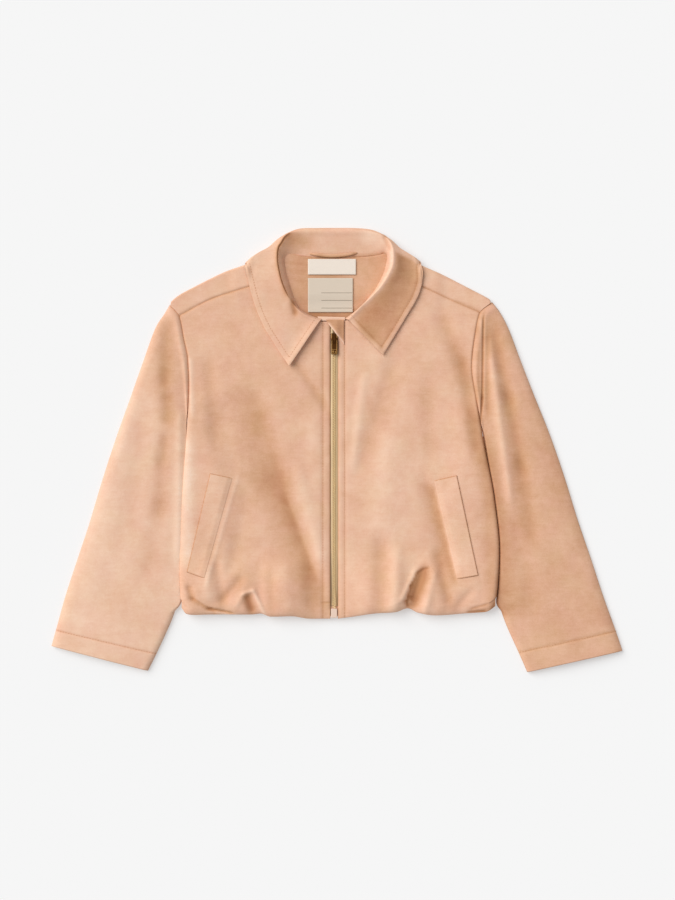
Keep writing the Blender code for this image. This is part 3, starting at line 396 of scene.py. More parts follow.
# Middle line of the hanger loop, from its right end.
LOOP = [Line(-31, 225.2), Line(-22, 224.2), Line(-12, 223.2), Line(-3, 223), Line(8, 223.8),
        Line(16, 225), Line(23, 226.4)]
# The hanger loop's section, and its painted shade, darkest along the lower edge where its shadow falls.
LOOP_SECTION = [Strip(2.1, 0.9, -0.5), Strip(1.7, 0.3, -0.4), Strip(0.8, 0, -0.4), Strip(0, -0.05, -0.5),
                Strip(-0.8, 0, -0.7), Strip(-1.7, 0.1, -1.1), Strip(-2.1, 0.6, -1.3)]


def mix(a, b, t):
    return a + (b - a) * t


def ease(low, high, value):
    t = np.clip((value - low) / (high - low), 0.0, 1.0)
    return t * t * (3 - 2 * t)


def round_over(share):
    """Rises from 0 to 1 along a quarter circle."""
    return np.sqrt(1 - (1 - np.clip(share, 0.0, 1.0)) ** 2)


def bell(away, width):
    """1 on a line and almost nothing at twice this width from it."""
    return np.exp(-(away / width) ** 2)


def table(rows, key):
    """A smooth curve through the rows' last value against their first, held level past the ends."""
    rows = sorted(rows)
    keys = np.array([row[0] for row in rows], float)
    values = np.array([row[1] for row in rows], float)
    slopes = np.diff(values) / np.diff(keys)
    tangents = np.zeros(len(keys))
    tangents[0], tangents[-1] = slopes[0], slopes[-1]
    for k in range(1, len(keys) - 1):
        before, after = slopes[k - 1], slopes[k]
        tangents[k] = 0.0 if before * after <= 0 else 2 * before * after / (before + after)
    key = np.clip(key, keys[0], keys[-1])
    i = np.clip(np.searchsorted(keys, key, side="right") - 1, 0, len(keys) - 2)
    width = keys[i + 1] - keys[i]
    t = (key - keys[i]) / width
    rise = values[i + 1] - values[i]
    a = tangents[i] * width - rise
    b = rise - tangents[i + 1] * width
    return values[i] + t * rise + t * (1 - t) * (a * (1 - t) + b * t)


def smooth_line(points, places, uneven=False):
    """A curve through rows of points (first axis), read at places counted in rows."""
    points = np.asarray(points, float)
    places = np.clip(np.asarray(places, float), 0, len(points) - 1)
    steps = np.diff(points, axis=0)
    lengths = np.ones(steps.shape)
    if uneven:
        lengths = lengths * np.linalg.norm(steps, axis=-1, keepdims=True) + 1e-6
    slopes = steps / lengths
    middle = (slopes[:-1] * lengths[1:] + slopes[1:] * lengths[:-1]) / (lengths[:-1] + lengths[1:])
    slopes = np.concatenate([slopes[:1], middle, slopes[-1:]])
    i = np.clip(places.astype(int), 0, len(points) - 2)
    t = (places - i).reshape((-1,) + (1,) * (points.ndim - 1))
    leave, arrive = slopes[i] * lengths[i], slopes[i + 1] * lengths[i]
    return (points[i] * (1 + 2 * t) * (1 - t) ** 2 + points[i + 1] * t * t * (3 - 2 * t)
            + leave * t * (1 - t) ** 2 - arrive * t * t * (1 - t))


def by_line(x, y, start, end):
    """How far along a line each place is, and how far to the right of it, seen along it."""
    (x0, y0), length = start, math.dist(start, end)
    dx, dy = (end[0] - x0) / length, (end[1] - y0) / length
    return (x - x0) * dx + (y - y0) * dy, (x - x0) * dy - (y - y0) * dx


def folded(folds, x, y, what="height"):
    """Adds up one column of the folds at a place: most in the middle of each, fading across and past it."""
    total = np.zeros(np.broadcast(x, y).shape)
    for fold in folds:
        start, end = (fold.x0, fold.y0), (fold.x1, fold.y1)
        length = math.dist(start, end)
        along, right = by_line(x, y, start, end)
        width = fold.width * np.where(right < 0, 1 - fold.lean, 1 + fold.lean)
        past = np.maximum(0.0, np.maximum(-along, along - length)) / (fold.width + FOLD_FADE * length)
        total += getattr(fold, what) * np.exp(-1.4 * ((right / width) ** 2 + past ** 2))
    return total


def ripple(x, y, size, seed):
    """Even, soft unevenness between -1 and 1, with bumps of about this size in millimetres."""
    flat_x, flat_y = np.broadcast_arrays(x, y)
    values = [noise.noise(Vector((a / size, b / size, seed))) for a, b in zip(flat_x.flat, flat_y.flat)]
    return np.array(values).reshape(flat_x.shape)


def side_x(side, y):
    """The body's outline at the armhole and the side."""
    return table(SIDE[side], y)


def sleeve_fold_x(side, y):
    """How far in the sleeve's hidden inner fold lies under the body."""
    return np.abs(table([(row.fold_y, row.fold_x) for row in SLEEVE[side]], y))


def back_lift(x, y):
    """Height of the back's outer face: raised where a sleeve or the collar leaf lies under it."""
    total = 0.0
    for side, start in LIFT_START.items():
        here = np.where(x < 0, side < 0, side > 0)
        over_sleeve = ease(-22, -9, np.abs(x) - sleeve_fold_x(side, y))
        over_sleeve = over_sleeve * ease(0, 14, start + 8 - y) * ease(-196, -178, y)
        total = total + here * SLEEVE_LIFT * over_sleeve
    over_leaf = ease(166, 180, y) * ease(0, 10, 116 - np.abs(x))
    return total + LEAF_LIFT * over_leaf


def front_lift(side, x, y):
    """What the sleeve and the collar leaf under it add to a front's height."""
    over_sleeve = ease(-46, -14, np.abs(x) - sleeve_fold_x(side, y)) * ease(0, 34, FRONT_LIFT[side] - y)
    over_leaf = ease(160, 186, y) * ease(0, 16, 128 - np.abs(x))
    return SLEEVE_LIFT * over_sleeve + LEAF_LIFT * over_leaf


def shell_top(side, x, y):
    """Height of the outer face of a front or of the shoulder over it."""
    x = np.maximum(np.abs(x), 1.2) * side
    bubble = table([(row.x, row.height) for row in BUBBLE[side]], x) * ease(-108, -172, y)
    dome = 1.3 * ease(8, 60, np.abs(x)) * ease(175, 110, y)
    return SHELL_TOP + front_lift(side, x, y) + dome + bubble + folded(FOLDS[side], x, y)


def body_top(x, y):
    """Height of the body's outer face on either side."""
    return np.where(x < 0, shell_top(-1, x, y), shell_top(1, x, y))


def rolled(side, x, y, height):
    """Brings a front's height down to its edge: a full roll at the side, a sharp dip at the armhole."""
    inside = np.maximum(0.0, np.abs(side_x(side, y)) - np.abs(x))
    side_part = ease(UNDERARM[side] + 14, UNDERARM[side] - 6, y)
    at_side = back_lift(x, y) + SIDE_RISE[side] + 3.0 * ease(-150, -176, y)
    at_armhole = SHELL_TOP - 1.2 + 0.5 * front_lift(side, x, y)
    edge = mix(at_armhole, at_side, side_part)
    return mix(edge, height, round_over(inside / mix(2.6, SIDE_ROLL[side], side_part)))


def spaced(low, high, step):
    """Evenly spaced values from low to high, about a step apart."""
    return np.linspace(low, high, max(2, int(round(abs(high - low) / step)) + 1))


def dense(points, step):
    """The same line with a point about every step."""
    points = [np.array(point[:2], float) for point in points]
    line = [points[0]]
    for a, b in zip(points, points[1:]):
        count = max(1, int(round(np.linalg.norm(b - a) / step)))
        line += [mix(a, b, k / count) for k in range(1, count + 1)]
    return line


def distance(x, y, line):
    """How far each place is from the nearest point of a dense line."""
    line = np.array(line)
    return np.hypot(x[..., None] - line[:, 0], y[..., None] - line[:, 1]).min(-1)


def front_ends(side):
    """Where the top edge of a front starts at the zip and ends at the armhole."""
    return FRONT_TOP[side][0].x, FRONT_TOP[side][-1].x


def front_column_x(side, column, y):
    """Where a column of a front runs at this height: upright at the zip, along the outline at its end."""
    first, last = front_ends(side)
    share = (column - first) / (last - first)
    return first + share * (side_x(side, np.minimum(y, FRONT_TOP[side][-1].y)) - first)


def front_seams(side, x, y):
    """How far a place on a front is from its edge at the zip, and how far below its shoulder seam."""
    above = table(FRONT_TOP[side], side * np.maximum(np.abs(x), SEAM_START)) - y
    return np.abs(x - FRONT_TOP[side][0].x), above


def front_top(side, x, y):
    """The shell with its fine relief: seams, stitch grooves, the sunk neckline and the cloth's unevenness."""
    height = shell_top(side, x, y)
    height = height + 0.35 * ripple(x, y, 26, 3.0 + side) + 0.12 * ripple(x, y, 9, 7.0 + side)
    from_edge, above = front_seams(side, x, y)
    height = height - 0.9 * bell(from_edge, 1.1)
    height = height - 0.6 * bell(from_edge - PLACKET_STITCH[side], 1.4)
    height = height - 0.8 * bell(above, 1.3) * (np.abs(x) > SEAM_SHOWN)
    neckline = dense([point for point in FRONT_TOP[side] if abs(point.x) < NECKLINE][2:], 2.0)
    return height - NECK_DIP * ease(9, 1, distance(x, y, neckline))


def front_tone(side, x, y):
    """Painted shade and light on a front: by its folds, and painted shade along its seams, stitching and side
    edge.
    """
    tone = FRONT_TONE[side] + folded(FOLDS[side], x, y, "tone") + folded(CREASES[side], x, y, "tone")
    from_edge, above = front_seams(side, x, y)
    tone = tone - 0.5 * bell(from_edge, 1.3)
    tone = tone - 0.35 * bell(from_edge - PLACKET_STITCH[side], 1.4)
    tone = tone - 0.5 * bell(above, 1.5) * (np.abs(x) > SEAM_SHOWN)
    inside = np.maximum(0, np.abs(side_x(side, y)) - np.abs(x))
    underarm = ease(60, 30, y)
    return (tone - mix(0.5, EDGE_SHADE[side], underarm) * bell(inside, 1.5)
            - 0.6 * EDGE_SHADE[side] * underarm * bell(inside, 12))


def front_surface(side, grain):
    """Outer face of a front: from the neck and shoulder seam down, and round under the bubble hem."""
    first, last = front_ends(side)
    columns = first + side * np.concatenate([[0, 0.5, 1.2], spaced(2, abs(last - first) - 5, grain)])
    columns = np.concatenate([columns, last - side * np.array([4, 3, 2, 1.2, 0.6, 0.25, 0])])
    falls = np.concatenate([[0, 0.0015, 0.003, 0.005], spaced(0.01, HEM_PART, grain / FRONT_LENGTH),
                            spaced(HEM_PART, 1, 0.55 * grain / FRONT_LENGTH)[1:]])
    column, fall = np.meshgrid(columns, falls)
    top = table(FRONT_TOP[side], column) - 0.1
    hem = table(HEM[side], column)
    y = mix(top, hem + HEM_ROLL, fall)
    x = front_column_x(side, column, y)
    z = rolled(side, x, y, front_top(side, x, y))
    turns = np.radians([*range(80, -1, -8), -10, -22, -40, -60, -90])
    column, turn = np.meshgrid(columns, turns)
    hem = table(HEM[side], column)
    x_turn = front_column_x(side, column, hem + HEM_ROLL * 0.5)
    y_turn = hem + HEM_ROLL * (1 - np.cos(turn))
    low = HEM_FOLD + 0.3 + back_lift(x_turn, hem + HEM_ROLL)
    high = np.maximum(np.broadcast_to(z[-1], column.shape), low + 3)
    z_turn = mix(low, high, (1 + np.sin(turn)) / 2)
    inside = np.abs(side_x(side, y)) - np.abs(x)
    z = z + folded(CREASES[side], x, y) * ease(0, 4, inside)
    z_turn = z_turn + folded(CREASES[side], x_turn, y_turn) * np.clip(np.sin(turn), 0, 1)
    tone, tone_turn = front_tone(side, x, y), front_tone(side, x_turn, y_turn)
    x, y, z, tone = (np.vstack(pair) for pair in ((x, x_turn), (y, y_turn), (z, z_turn), (tone, tone_turn)))
    under = (x[-1:], y[-1:] + HEM_TURN, z[-1:], tone[-1:])
    return tuple(np.vstack(pair) for pair in zip((x, y, z, tone), under))


def across_back(column, y):
    """Where a column of the back runs at this height, with its two ends along the body's sides."""
    right, left = SIDE[-1][0].x, SIDE[1][0].x
    return mix(side_x(-1, y) + 0.2, side_x(1, y) - 0.2, (column - right) / (left - right))


def by_side(tables, x):
    """The curve through the right or the left table, by the side that a place is on."""
    return np.where(x < 0, table(tables[-1], x), table(tables[1], x))


def back_hem(columns):
    """The back's lower edge, a little inside the hem of the fronts."""
    x = across_back(columns, HEM_LEVEL)
    hem = np.zeros(len(columns))
    for side in (-1, 1):
        first, last = front_ends(side)
        key = mix(first, last, (x - first) / (side_x(side, HEM_LEVEL) - first))
        hem = np.where(x * side > 0, table(HEM[side], key) + HEM_SET_BACK, hem)
    return hem


def back_seam(columns):
    """The forward shoulder seam, where the back ends on the fronts."""
    half = np.where(columns < 0, -1, 1)
    seam = by_side(FRONT_TOP, np.where(np.abs(columns) < NECK, half * SEAM_START, columns))
    for _ in range(12):
        x = across_back(columns, seam)
        seam = by_side(FRONT_TOP, half * np.maximum(np.abs(x), SEAM_START))
    return seam


def back_surface(grain):
    """Outer face of the back: turned-up hem, the panel on the surface, the shoulder, the forward seam."""
    right, left = SIDE[-1][0].x, SIDE[1][0].x
    columns = np.concatenate([right + np.array([0, 0.6, 1.5, 3]), spaced(right + 5, -NECK, grain),
                              spaced(-NECK, NECK, 2 * grain)[1:-1], spaced(NECK, left - 5, grain),
                              left - np.array([3, 1.5, 0.6, 0])])
    hem, seam = back_hem(columns), back_seam(columns)
    neck = np.abs(columns) < NECK
    top = np.where(neck, NECK_TOP + NECK_RISE * (columns / NECK) ** 4, by_side(SHOULDER, columns))
    radius = (body_top(columns, top - 3) - back_lift(columns, top - 3)) / 2
    flat = np.zeros(len(columns))
    fold = HEM_FOLD / 2
    x, lift = across_back(columns, hem + fold), back_lift(columns, hem + fold)
    rows = [(x, hem + HEM_TURNED, HEM_FOLD + lift, flat)]
    for turn in np.radians(range(180, 0, -30)):
        rows.append((x, hem + fold * (1 - math.sin(turn)), fold * (1 - math.cos(turn)) + lift, flat))
    for rise in spaced(0, 1, grain / BACK_LENGTH):
        y = mix(hem + fold, top - np.where(neck, 0, radius), rise)
        x = across_back(columns, y)
        uneven = 0.12 * (1 + ripple(x, y, 30, 15.0)) * ease(-170, -150, y)
        rows.append((x, y, back_lift(x, y) + uneven, flat))
    fold_row = len(rows) - 1
    x, lift = across_back(columns, top - radius), back_lift(across_back(columns, top - radius), top - radius)
    for turn in np.radians(range(20, 181, 20)):
        rows.append((x, top - radius * (1 - math.sin(turn)), lift + radius * (1 - math.cos(turn)), flat))
    tuck = SEAM_TUCK / (top - radius - seam).max()
    for share in [*spaced(0.1, 0.9, 0.08), 0.95, 0.975, 0.99, 1, 1 + tuck]:
        y = mix(top - radius, seam + 0.1, share)
        x = across_back(columns, y)
        z = body_top(x, y) - 0.7 * (share > 1)
        z = z - 0.8 * bell(y - seam, 1.3) + 0.2 * ripple(x, y, 20, 12.0)
        # Slightly lighter over the shoulder, with painted shade along the forward seam.
        rows.append((x, y, z, 0.15 - 0.5 * bell(y - seam, 1.5)))
    x, y, z, tone = (np.vstack([row[k] for row in rows]) for k in range(4))
    # The inside of the back, seen in the neck: painted shade, deepest a little right of the middle and under
    # the name label, and the painted wrinkles.
    inner = mix(-0.3, -0.55, ease(-58, -40, x)) + 0.2 * ease(-20, 20, x)
    inner = inner - 0.5 * ease(166, 156, y) * ease(40, 25, np.abs(x)) + folded(NECK_WRINKLES, x, y, "tone")
    across = [i for i in range(len(columns) - 1) if abs(columns[i] + columns[i + 1]) < 2 * NECK]
    return (x, y, z, tone, inner), {(row, i) for row in range(fold_row, len(rows)) for i in across}


def past_hem(side, x, y):
    """How far a place is beyond the sleeve's hem stitching, towards the cuff."""
    return by_line(x, y, *SLEEVE_HEM[side])[1]


def sleeve_relief(side, x, y, over, from_seam):
    """What a sleeve's upper face adds to its flat section: plump middle, head, folds, seam and hem."""
    loose = ease(0, 8, from_seam)
    plump = 2.2 * np.sin(np.pi * np.clip(over, 0, 1)) ** 0.8 * ease(0, 60, from_seam)
    head = 1.4 * bell(from_seam - 6, 5)
    relief = plump * loose + head + folded(SLEEVE_FOLDS[side], x, y) * loose - 0.6 * bell(from_seam, 1.2)
    relief = relief + 0.3 * loose * (ripple(x, y, 30, 21.0 + side) + 0.4 * ripple(x, y, 10, 23.0))
    from_hem = past_hem(side, x, y)
    return relief - 0.6 * bell(from_hem, 1.1) + 0.3 * ease(0, 2, from_hem)


def sleeve_tone(side, x, y, from_seam):
    """Painted shade and light on a sleeve: by its folds, along its seam and hem stitching, and on its head.
    """
    tone = SLEEVE_TONE[side] + folded(SLEEVE_FOLDS[side], x, y, "tone")
    tone = tone - 0.4 * bell(from_seam, 1.5) + 0.15 * bell(from_seam - 6, 4)
    tone = tone - SLEEVE_TOP_SHADE[side] * ease(110, 30, from_seam)
    return tone - 0.4 * bell(past_hem(side, x, y), 1.2)


def sleeve_surface(side, grain):
    """Rings from the armhole to the cuff. Each runs over the top from the outer edge, then back below."""
    rows = np.array([list(row) for row in SLEEVE[side]], float)
    last = len(rows) - 1
    places = np.concatenate([[0, 0.04, 0.08, 0.13, 0.2, 0.3], spaced(0.36, last - 1, grain / SLEEVE_ROW),
                             spaced(last - 0.96, last - 0.5, 0.035),
                             spaced(last - 0.45, last, grain / CUFF_ROW)])
    rows = smooth_line(rows, places)
    outer_x, outer_y, near_x, near_y, fold_x, fold_y, height, bow = (rows[:, [k]] for k in range(8))
    free = ease(-168, -186, near_y)
    edge_x = mix(side_x(side, near_y) + side * SLEEVE_MEETS[side], fold_x + side * 0.5, free)
    near_x, near_y = mix(near_x, edge_x, 1 - bow), mix(near_y, fold_y, 0.9 * free)
    armhole = SLEEVE[side][0]
    over = np.concatenate([[0, 0.004, 0.012, 0.03, 0.05, 0.075], spaced(0.1, 0.9, grain / SLEEVE_WIDTH),
                           [0.915, 0.93, 0.945, 0.96, 0.97, 0.98, 0.986, 0.992, 0.997, 1.0]])[None, :]
    x, y = mix(outer_x, near_x, over), mix(outer_y, near_y, over)
    line = mix(armhole.outer_x, armhole.near_x, over)
    seam = side_x(side, mix(armhole.outer_y, armhole.near_y, over)) - side * 0.3
    x = x + (seam - line) * bow
    rise = round_over(over / 0.11)
    drop = mix(SLEEVE_FALL[side], 0.06, ease(-176, -196, near_y))
    fall = round_over((1 - over) / drop)
    low = np.where(over > 0.5, SLEEVE_TUCK, SLEEVE_TUCK * 0.8)
    from_seam = np.hypot(x - x[:1], y - y[:1])
    z = low + np.maximum(height - low + sleeve_relief(side, x, y, over, from_seam), 0) * rise * fall
    z[:, 0:1] = height * 0.42
    # Painted shadow that the body casts on the sleeve beside it.
    beside = (1 - over) * np.hypot(near_x - outer_x, near_y - outer_y)
    shade = BODY_SHADE[side] * (bell(beside, 2.0) + 0.8 * bell(beside, 20))
    tone = sleeve_tone(side, x, y, from_seam) - shade * ease(-200, -176, y) * (1 - bow)
    below = np.concatenate([[0, 0.05], spaced(0.12, 0.9, 0.06), [0.96]])[None, :]
    x_low, y_low = mix(fold_x, outer_x, below), mix(fold_y, outer_y, below)
    line = mix(armhole.fold_x, armhole.outer_x, below)
    seam = side_x(side, mix(armhole.fold_y, armhole.outer_y, below)) + side * 0.1
    x_low = x_low + (seam - line) * bow
    z_low = SLEEVE_TUCK / 2 * ease(0.4, 0.1, below) * np.ones(x_low.shape)
    x_tuck, y_tuck = mix(near_x, x_low[:, :1], 0.6), mix(near_y, y_low[:, :1], 0.6)
    tuck = (x_tuck, y_tuck, np.full(x_tuck.shape, SLEEVE_TUCK), tone[:, -1:])
    parts = ((x, y, z, tone), tuck, (x_low, y_low, z_low, np.full(x_low.shape, SLEEVE_TONE[side])))
    return tuple(np.hstack([part[k] for part in parts]) for k in range(4))


def collar_section(row):
    """Control points across the collar: neck seam, fall inside the neck, roll, leaf, and its edge."""
    seam, crest, bend, edge = (np.array(part, float) for part in (row[:3], row[3:6], row[6:8], row[8:10]))
    side = -1 if row.crest_x < 0 else 1

    def on_front(place):
        return float(shell_top(side, *place)) + LEAF_TOP

    section = [seam]
    hollow = float(ease(-38, -56, row.crest_x))
    for share, height in ((0.4, 0.5), (0.75, mix(0.86, 0.8, hollow)), (1.0, 1.0)):
        section.append(mix(seam, crest, np.array([share, share, height])))
    reach = math.dist(crest[:2], bend)
    near = min(4.0, 0.3 * reach) / reach
    for share, fall in ((near, 0.0), (0.4, 0.64), (0.72, 1.0)):
        place = mix(crest[:2], bend, share)
        laid = min(on_front(place) + 1.0, row.crest_z - 0.4 - share)
        section.append((*place, max(laid, mix(row.crest_z - 1.0, laid, fall))))
    if row.under:
        inset = min(2.0, 0.2 * reach)
        top = min(section[-1][2], on_front(bend))
        section.append((*mix(bend, crest[:2], inset / reach), top))
        turn = inset / max(2.0, math.dist(bend, edge))
        for share, low in ((0.0, 0.5), (turn, 0.0), (0.5, 0.0), (1.0, 0.0)):
            if row.under < 1:
                low = mix(0.8, 0.4, share)
            section.append((*mix(bend, edge, share), 0.1 + top * low))
    else:
        for share in (0.0, 0.3, 0.55, 0.8, 1.0):
            place = mix(bend, edge, share)
            section.append((*place, on_front(place) + 0.6 * (1 - share)))
    return section


def collar_edges():
    """The collar's free edges by side: each leaf's outer edge as far as the shoulder, and its front edge."""
    free = [row for row in COLLAR if not row.under]
    edges = {}
    for side in (-1, 1):
        rows = [row for row in free if row.crest_x * side > 0]
        front = rows[0] if side < 0 else rows[-1]
        outer = [(row.edge_x, row.edge_y) for row in rows]
        edges[side, "outer"] = smooth_line(outer, spaced(0, len(outer) - 1, 0.1))
        edges[side, "front"] = dense([(front.crest_x, front.crest_y), (front.edge_x, front.edge_y)], 1.0)
    return edges


def inset_edge(side):
    """The topstitching of a collar leaf: along its outer edge to the point, then up its front edge."""
    edges = collar_edges()
    outer, front = np.array(edges[side, "outer"]), np.array(edges[side, "front"])
    if side < 0:
        outer = outer[::-1]
    line = []
    for edge in (outer, front[::-1]):
        along = np.gradient(edge, axis=0)
        along /= np.linalg.norm(along, axis=1, keepdims=True)
        turned = np.stack([along[:, 1], -along[:, 0]], axis=1) * side * TOPSTITCH
        shifted = edge + turned
        away = np.minimum(distance(shifted[:, 0], shifted[:, 1], outer),
                          distance(shifted[:, 0], shifted[:, 1], front))
        line += [point for point, far in zip(shifted, away) if far > TOPSTITCH - 0.5]
    return line


def collar_surface():
    """The whole collar, with its lifted edges, topstitch groove, roll and dimples. Places across it are
    counted in the sections' points: 0 is the neck seam, 3 the top of the roll, 7 the bend, 11 the edge."""
    sections = np.array([collar_section(row) for row in COLLAR])
    last = len(sections) - 1
    rows = np.concatenate([[0, 0.02, 0.05, 0.1, 0.18], spaced(0.3, last - 0.3, 0.12),
                           last - np.array([0.18, 0.1, 0.05, 0.02, 0])])
    across = np.concatenate([spaced(0, 6, 0.16), spaced(6.2, 10.5, 0.14), [10.7, 10.85, 10.93, 11]])
    surface = smooth_line(sections, rows, uneven=True)
    surface = np.swapaxes(smooth_line(np.swapaxes(surface, 0, 1), across, uneven=True), 0, 1)
    x, y, z = (surface[:, :, k] for k in range(3))
    wrapped = np.interp(rows, np.arange(len(COLLAR)), [row.under for row in COLLAR])[:, None]
    across = across[None, :]
    leaf = ease(3.3, 4.6, across) * ease(0.5, 0.05, wrapped)
    laid = body_top(x, y) + LEAF_TOP
    z = z + leaf * ease(4.6, 5.6, across) * np.maximum(laid - z, 0)
    far, lift = np.full(x.shape, 99.0), np.zeros(x.shape)
    for key, edge in collar_edges().items():
        away = distance(x, y, edge)
        far = np.minimum(far, away)
        lift = np.maximum(lift, EDGE_LIFT[key] * bell(away, 7.0))
    groove = bell(far - TOPSTITCH, 1.0) * mix(0.35, 1.0, ease(-10, 10, x))
    z = z + leaf * (lift - 0.4 * bell(far, 0.8) - 0.35 * groove)
    shown = ease(0.0, 1.5, across) * ease(9.0, 7.5, across * (wrapped > 0.3))
    z = z + shown * (folded(COLLAR_FOLDS, x, y) + 0.25 * ripple(x, y, 22, 31.0))
    right_roll = ease(-50, -60, x) * ease(168, 180, y)
    z = z - 1.6 * right_roll * bell(across - 2.66, 0.2)
    # Painted shade inside the right stand, and a painted shadow line just inside the right roll's crest.
    right_stand = ease(3.3, 2.2, across) * ease(-36, -58, x)
    line = bell(across - 2.7, 0.3) + 0.5 * ease(4.5, 3.0, across) * ease(2.8, 3.0, across)
    tone = 0.1 - 0.3 * right_stand - 1.5 * line * right_roll
    # Painted light on the left roll's side that faces the lamp, and painted shade in the collar's dimples and
    # dips.
    left_roll, left_leaf = bell(across - 2.2, 1.2) * ease(16, 40, x), leaf * ease(10, 30, x)
    tone = tone + 0.5 * left_roll + shown * folded(COLLAR_FOLDS, x, y, "tone")
    # Painted shade over the left leaf, which slopes away from the lamp, deepest near the roll.
    tone = tone - left_leaf * mix(0.62, 1.0, bell(across - 4.8, 1.8))
    # Painted light on the left leaf's edge band, and painted shade in the topstitch groove.
    tone = tone + leaf * (0.4 * ease(TOPSTITCH, 2, far) * ease(0, 2, x) - 0.3 * groove)
    # Painted shade along the left half of the neck seam at the back.
    seam_line = ease(8, 24, x) * ease(216, 222, y) * ease(66, 56, x)
    tone = tone - 0.7 * seam_line * ease(0.5, 0.0, across)
    return x, y, z, tone


def laid_surface(corners, grain, height, dip=0.5, edge=1.2, tone=None):
    """A four-cornered piece whose points lie at height(x, y), its edges rounded down a little."""
    wide, long = math.dist(corners[0], corners[1]), math.dist(corners[0], corners[3])

    def shares(size):
        ends = np.array([0, 0.25, 0.6, 1.0]) * edge / size
        inner = spaced(1.5 * edge / size, 1 - 1.5 * edge / size, grain / size)
        return np.concatenate([ends, inner, 1 - ends[::-1]])

    u, v = np.meshgrid(shares(wide), shares(long))
    x, y = (mix(mix(a, b, u), mix(d, c, u), v) for a, b, c, d in zip(*corners))
    inside = np.minimum(np.minimum(u, 1 - u) * wide, np.minimum(v, 1 - v) * long)
    z = height(x, y) - dip * (1 - round_over(inside / edge))
    return (x, y, z, tone(x, y)) if tone else (x, y, z)


def level(value):
    """The same value at every place."""
    return lambda x, y: np.full(x.shape, value)


def on_back(x, y):
    """Height of a label's face on the back."""
    return back_lift(x, y) + LABEL_LIE + 0.25 * ripple(x, y, 24, 41.0)


def on_label(x, y):
    """Height of the print on a label."""
    return on_back(x, y) + RULE_LIE


def loop_surface():
    """The hanger loop: a folded strip along its line, narrower and lower at its sewn ends."""
    line = smooth_line([(place.x, place.y) for place in LOOP], spaced(0, len(LOOP) - 1, 0.12))
    share = np.linspace(0, 1, len(line))[:, None]
    height = LOOP_LIE - LOOP_SINK * (ease(0.16, 0, share) + ease(0.84, 1, share))
    across, drop, tone = (np.array(column)[None, :] for column in zip(*LOOP_SECTION))
    y = line[:, 1:2] + across * (1 - 0.45 * np.abs(2 * share - 1) ** 4)
    x = np.broadcast_to(line[:, :1], y.shape)
    return x, y, height - drop, np.broadcast_to(tone, y.shape)


def tape_top(x, y):
    """Height of a zip tape, with the bead that holds the teeth."""
    return TAPE_TOP + BEAD_HEIGHT * bell(np.abs(x - ZIP_X) - BEAD_AT, 1.0)


def garage_surface():
    """The zip garage: humped over the slider, flat on the left front beside it, painted shade with painted
    light at its free edge.
    """
    free_edge = dense(GARAGE[3:1:-1], 1.0)

    def height(x, y):
        hump = GARAGE_LIE + GARAGE_HUMP * bell(np.hypot(x - ZIP_X, y - SLIDER_Y), math.sqrt(60))
        return mix(hump, shell_top(1, x, y) + 1.3, ease(-1.0, 7.5, x))

    return laid_surface(GARAGE, SMALL_GRAIN, height,
                        tone=lambda x, y: -0.75 + 1.4 * bell(distance(x, y, free_edge), 2.0))


def welt_surface(side):
    """A pocket welt on its front, lower along the mouth, with painted shade along its sewn edges."""
    upper_outer, upper_inner, lower_inner, lower_outer = WELT[side]
    mouth = dense([upper_inner, lower_inner], 2.0)
    sewn = dense([upper_inner, upper_outer, lower_outer, lower_inner], 1.0)

    def height(x, y):
        above = mix(MOUTH_LIE, WELT_LIE, ease(0, 7, distance(x, y, mouth)))
        return rolled(side, x, y, front_top(side, x, y)) + above

    return laid_surface(WELT[side], SMALL_GRAIN, height, dip=0.8,
                        tone=lambda x, y: WELT_TONE[side] - 1.3 * bell(distance(x, y, sewn), 0.8))


def build_mesh(name, surface, flip=False, ring=False, skipped=()):
    """Quads through rows of points, seen from outside. Grids after x, y and z carry painted shade and light.
    """
    x, y, z, *tones = surface
    rows, columns = x.shape
    points = np.stack([x, y, z], axis=-1).reshape(-1, 3) * MM
    faces = []
    for r in range(rows - 1):
        for c in range(columns if ring else columns - 1):
            if (r, c) in skipped:
                continue
            d = (c + 1) % columns
            quad = (r * columns + c, r * columns + d, (r + 1) * columns + d, (r + 1) * columns + c)
            faces.append(quad[::-1] if flip else quad)
    used = np.unique(np.array(faces))
    renumber = np.zeros(len(points), int)
    renumber[used] = np.arange(len(used))
    mesh = bpy.data.meshes.new(name)
    mesh.from_pydata(points[used].tolist(), [], renumber[np.array(faces)].tolist())
    for key, tone in zip((OUTER_TONE, INNER_TONE), tones):
        values = mesh.attributes.new(key, "FLOAT", "POINT").data
        values.foreach_set("value", np.broadcast_to(tone, x.shape).ravel()[used].astype(np.float32))
    mesh.shade_smooth()
    return mesh


def add_object(name, mesh, paint):
    obj = bpy.data.objects.new(name, mesh)
    bpy.context.scene.collection.objects.link(obj)
    mesh.materials.clear()
    mesh.materials.append(paint)
    return obj


def cloth_piece(name, surface, paint, wall, **build):
    """A sheet of cloth whose outer face is the surface, never below the floor."""
    x, y, z, *tones = surface
    surface = x, y, np.maximum(z, LOWEST), *tones
    obj = add_object(name, build_mesh(name, surface, **build), paint)
    solidify = obj.modifiers.new("wall", "SOLIDIFY")
    solidify.thickness = wall * MM
    solidify.offset = -1.0
    return obj


def suede_piece(name, surface, wall, **build):
    """A sheet of the suede cloth, its nap outside and its wrong side within."""
    obj = cloth_piece(name, surface, suede_paint(OUTER_TONE), wall, **build)
    obj.data.materials.append(suede_paint(INNER_TONE if len(surface) > 4 else OUTER_TONE))
    obj.modifiers["wall"].material_offset = 1
    return obj


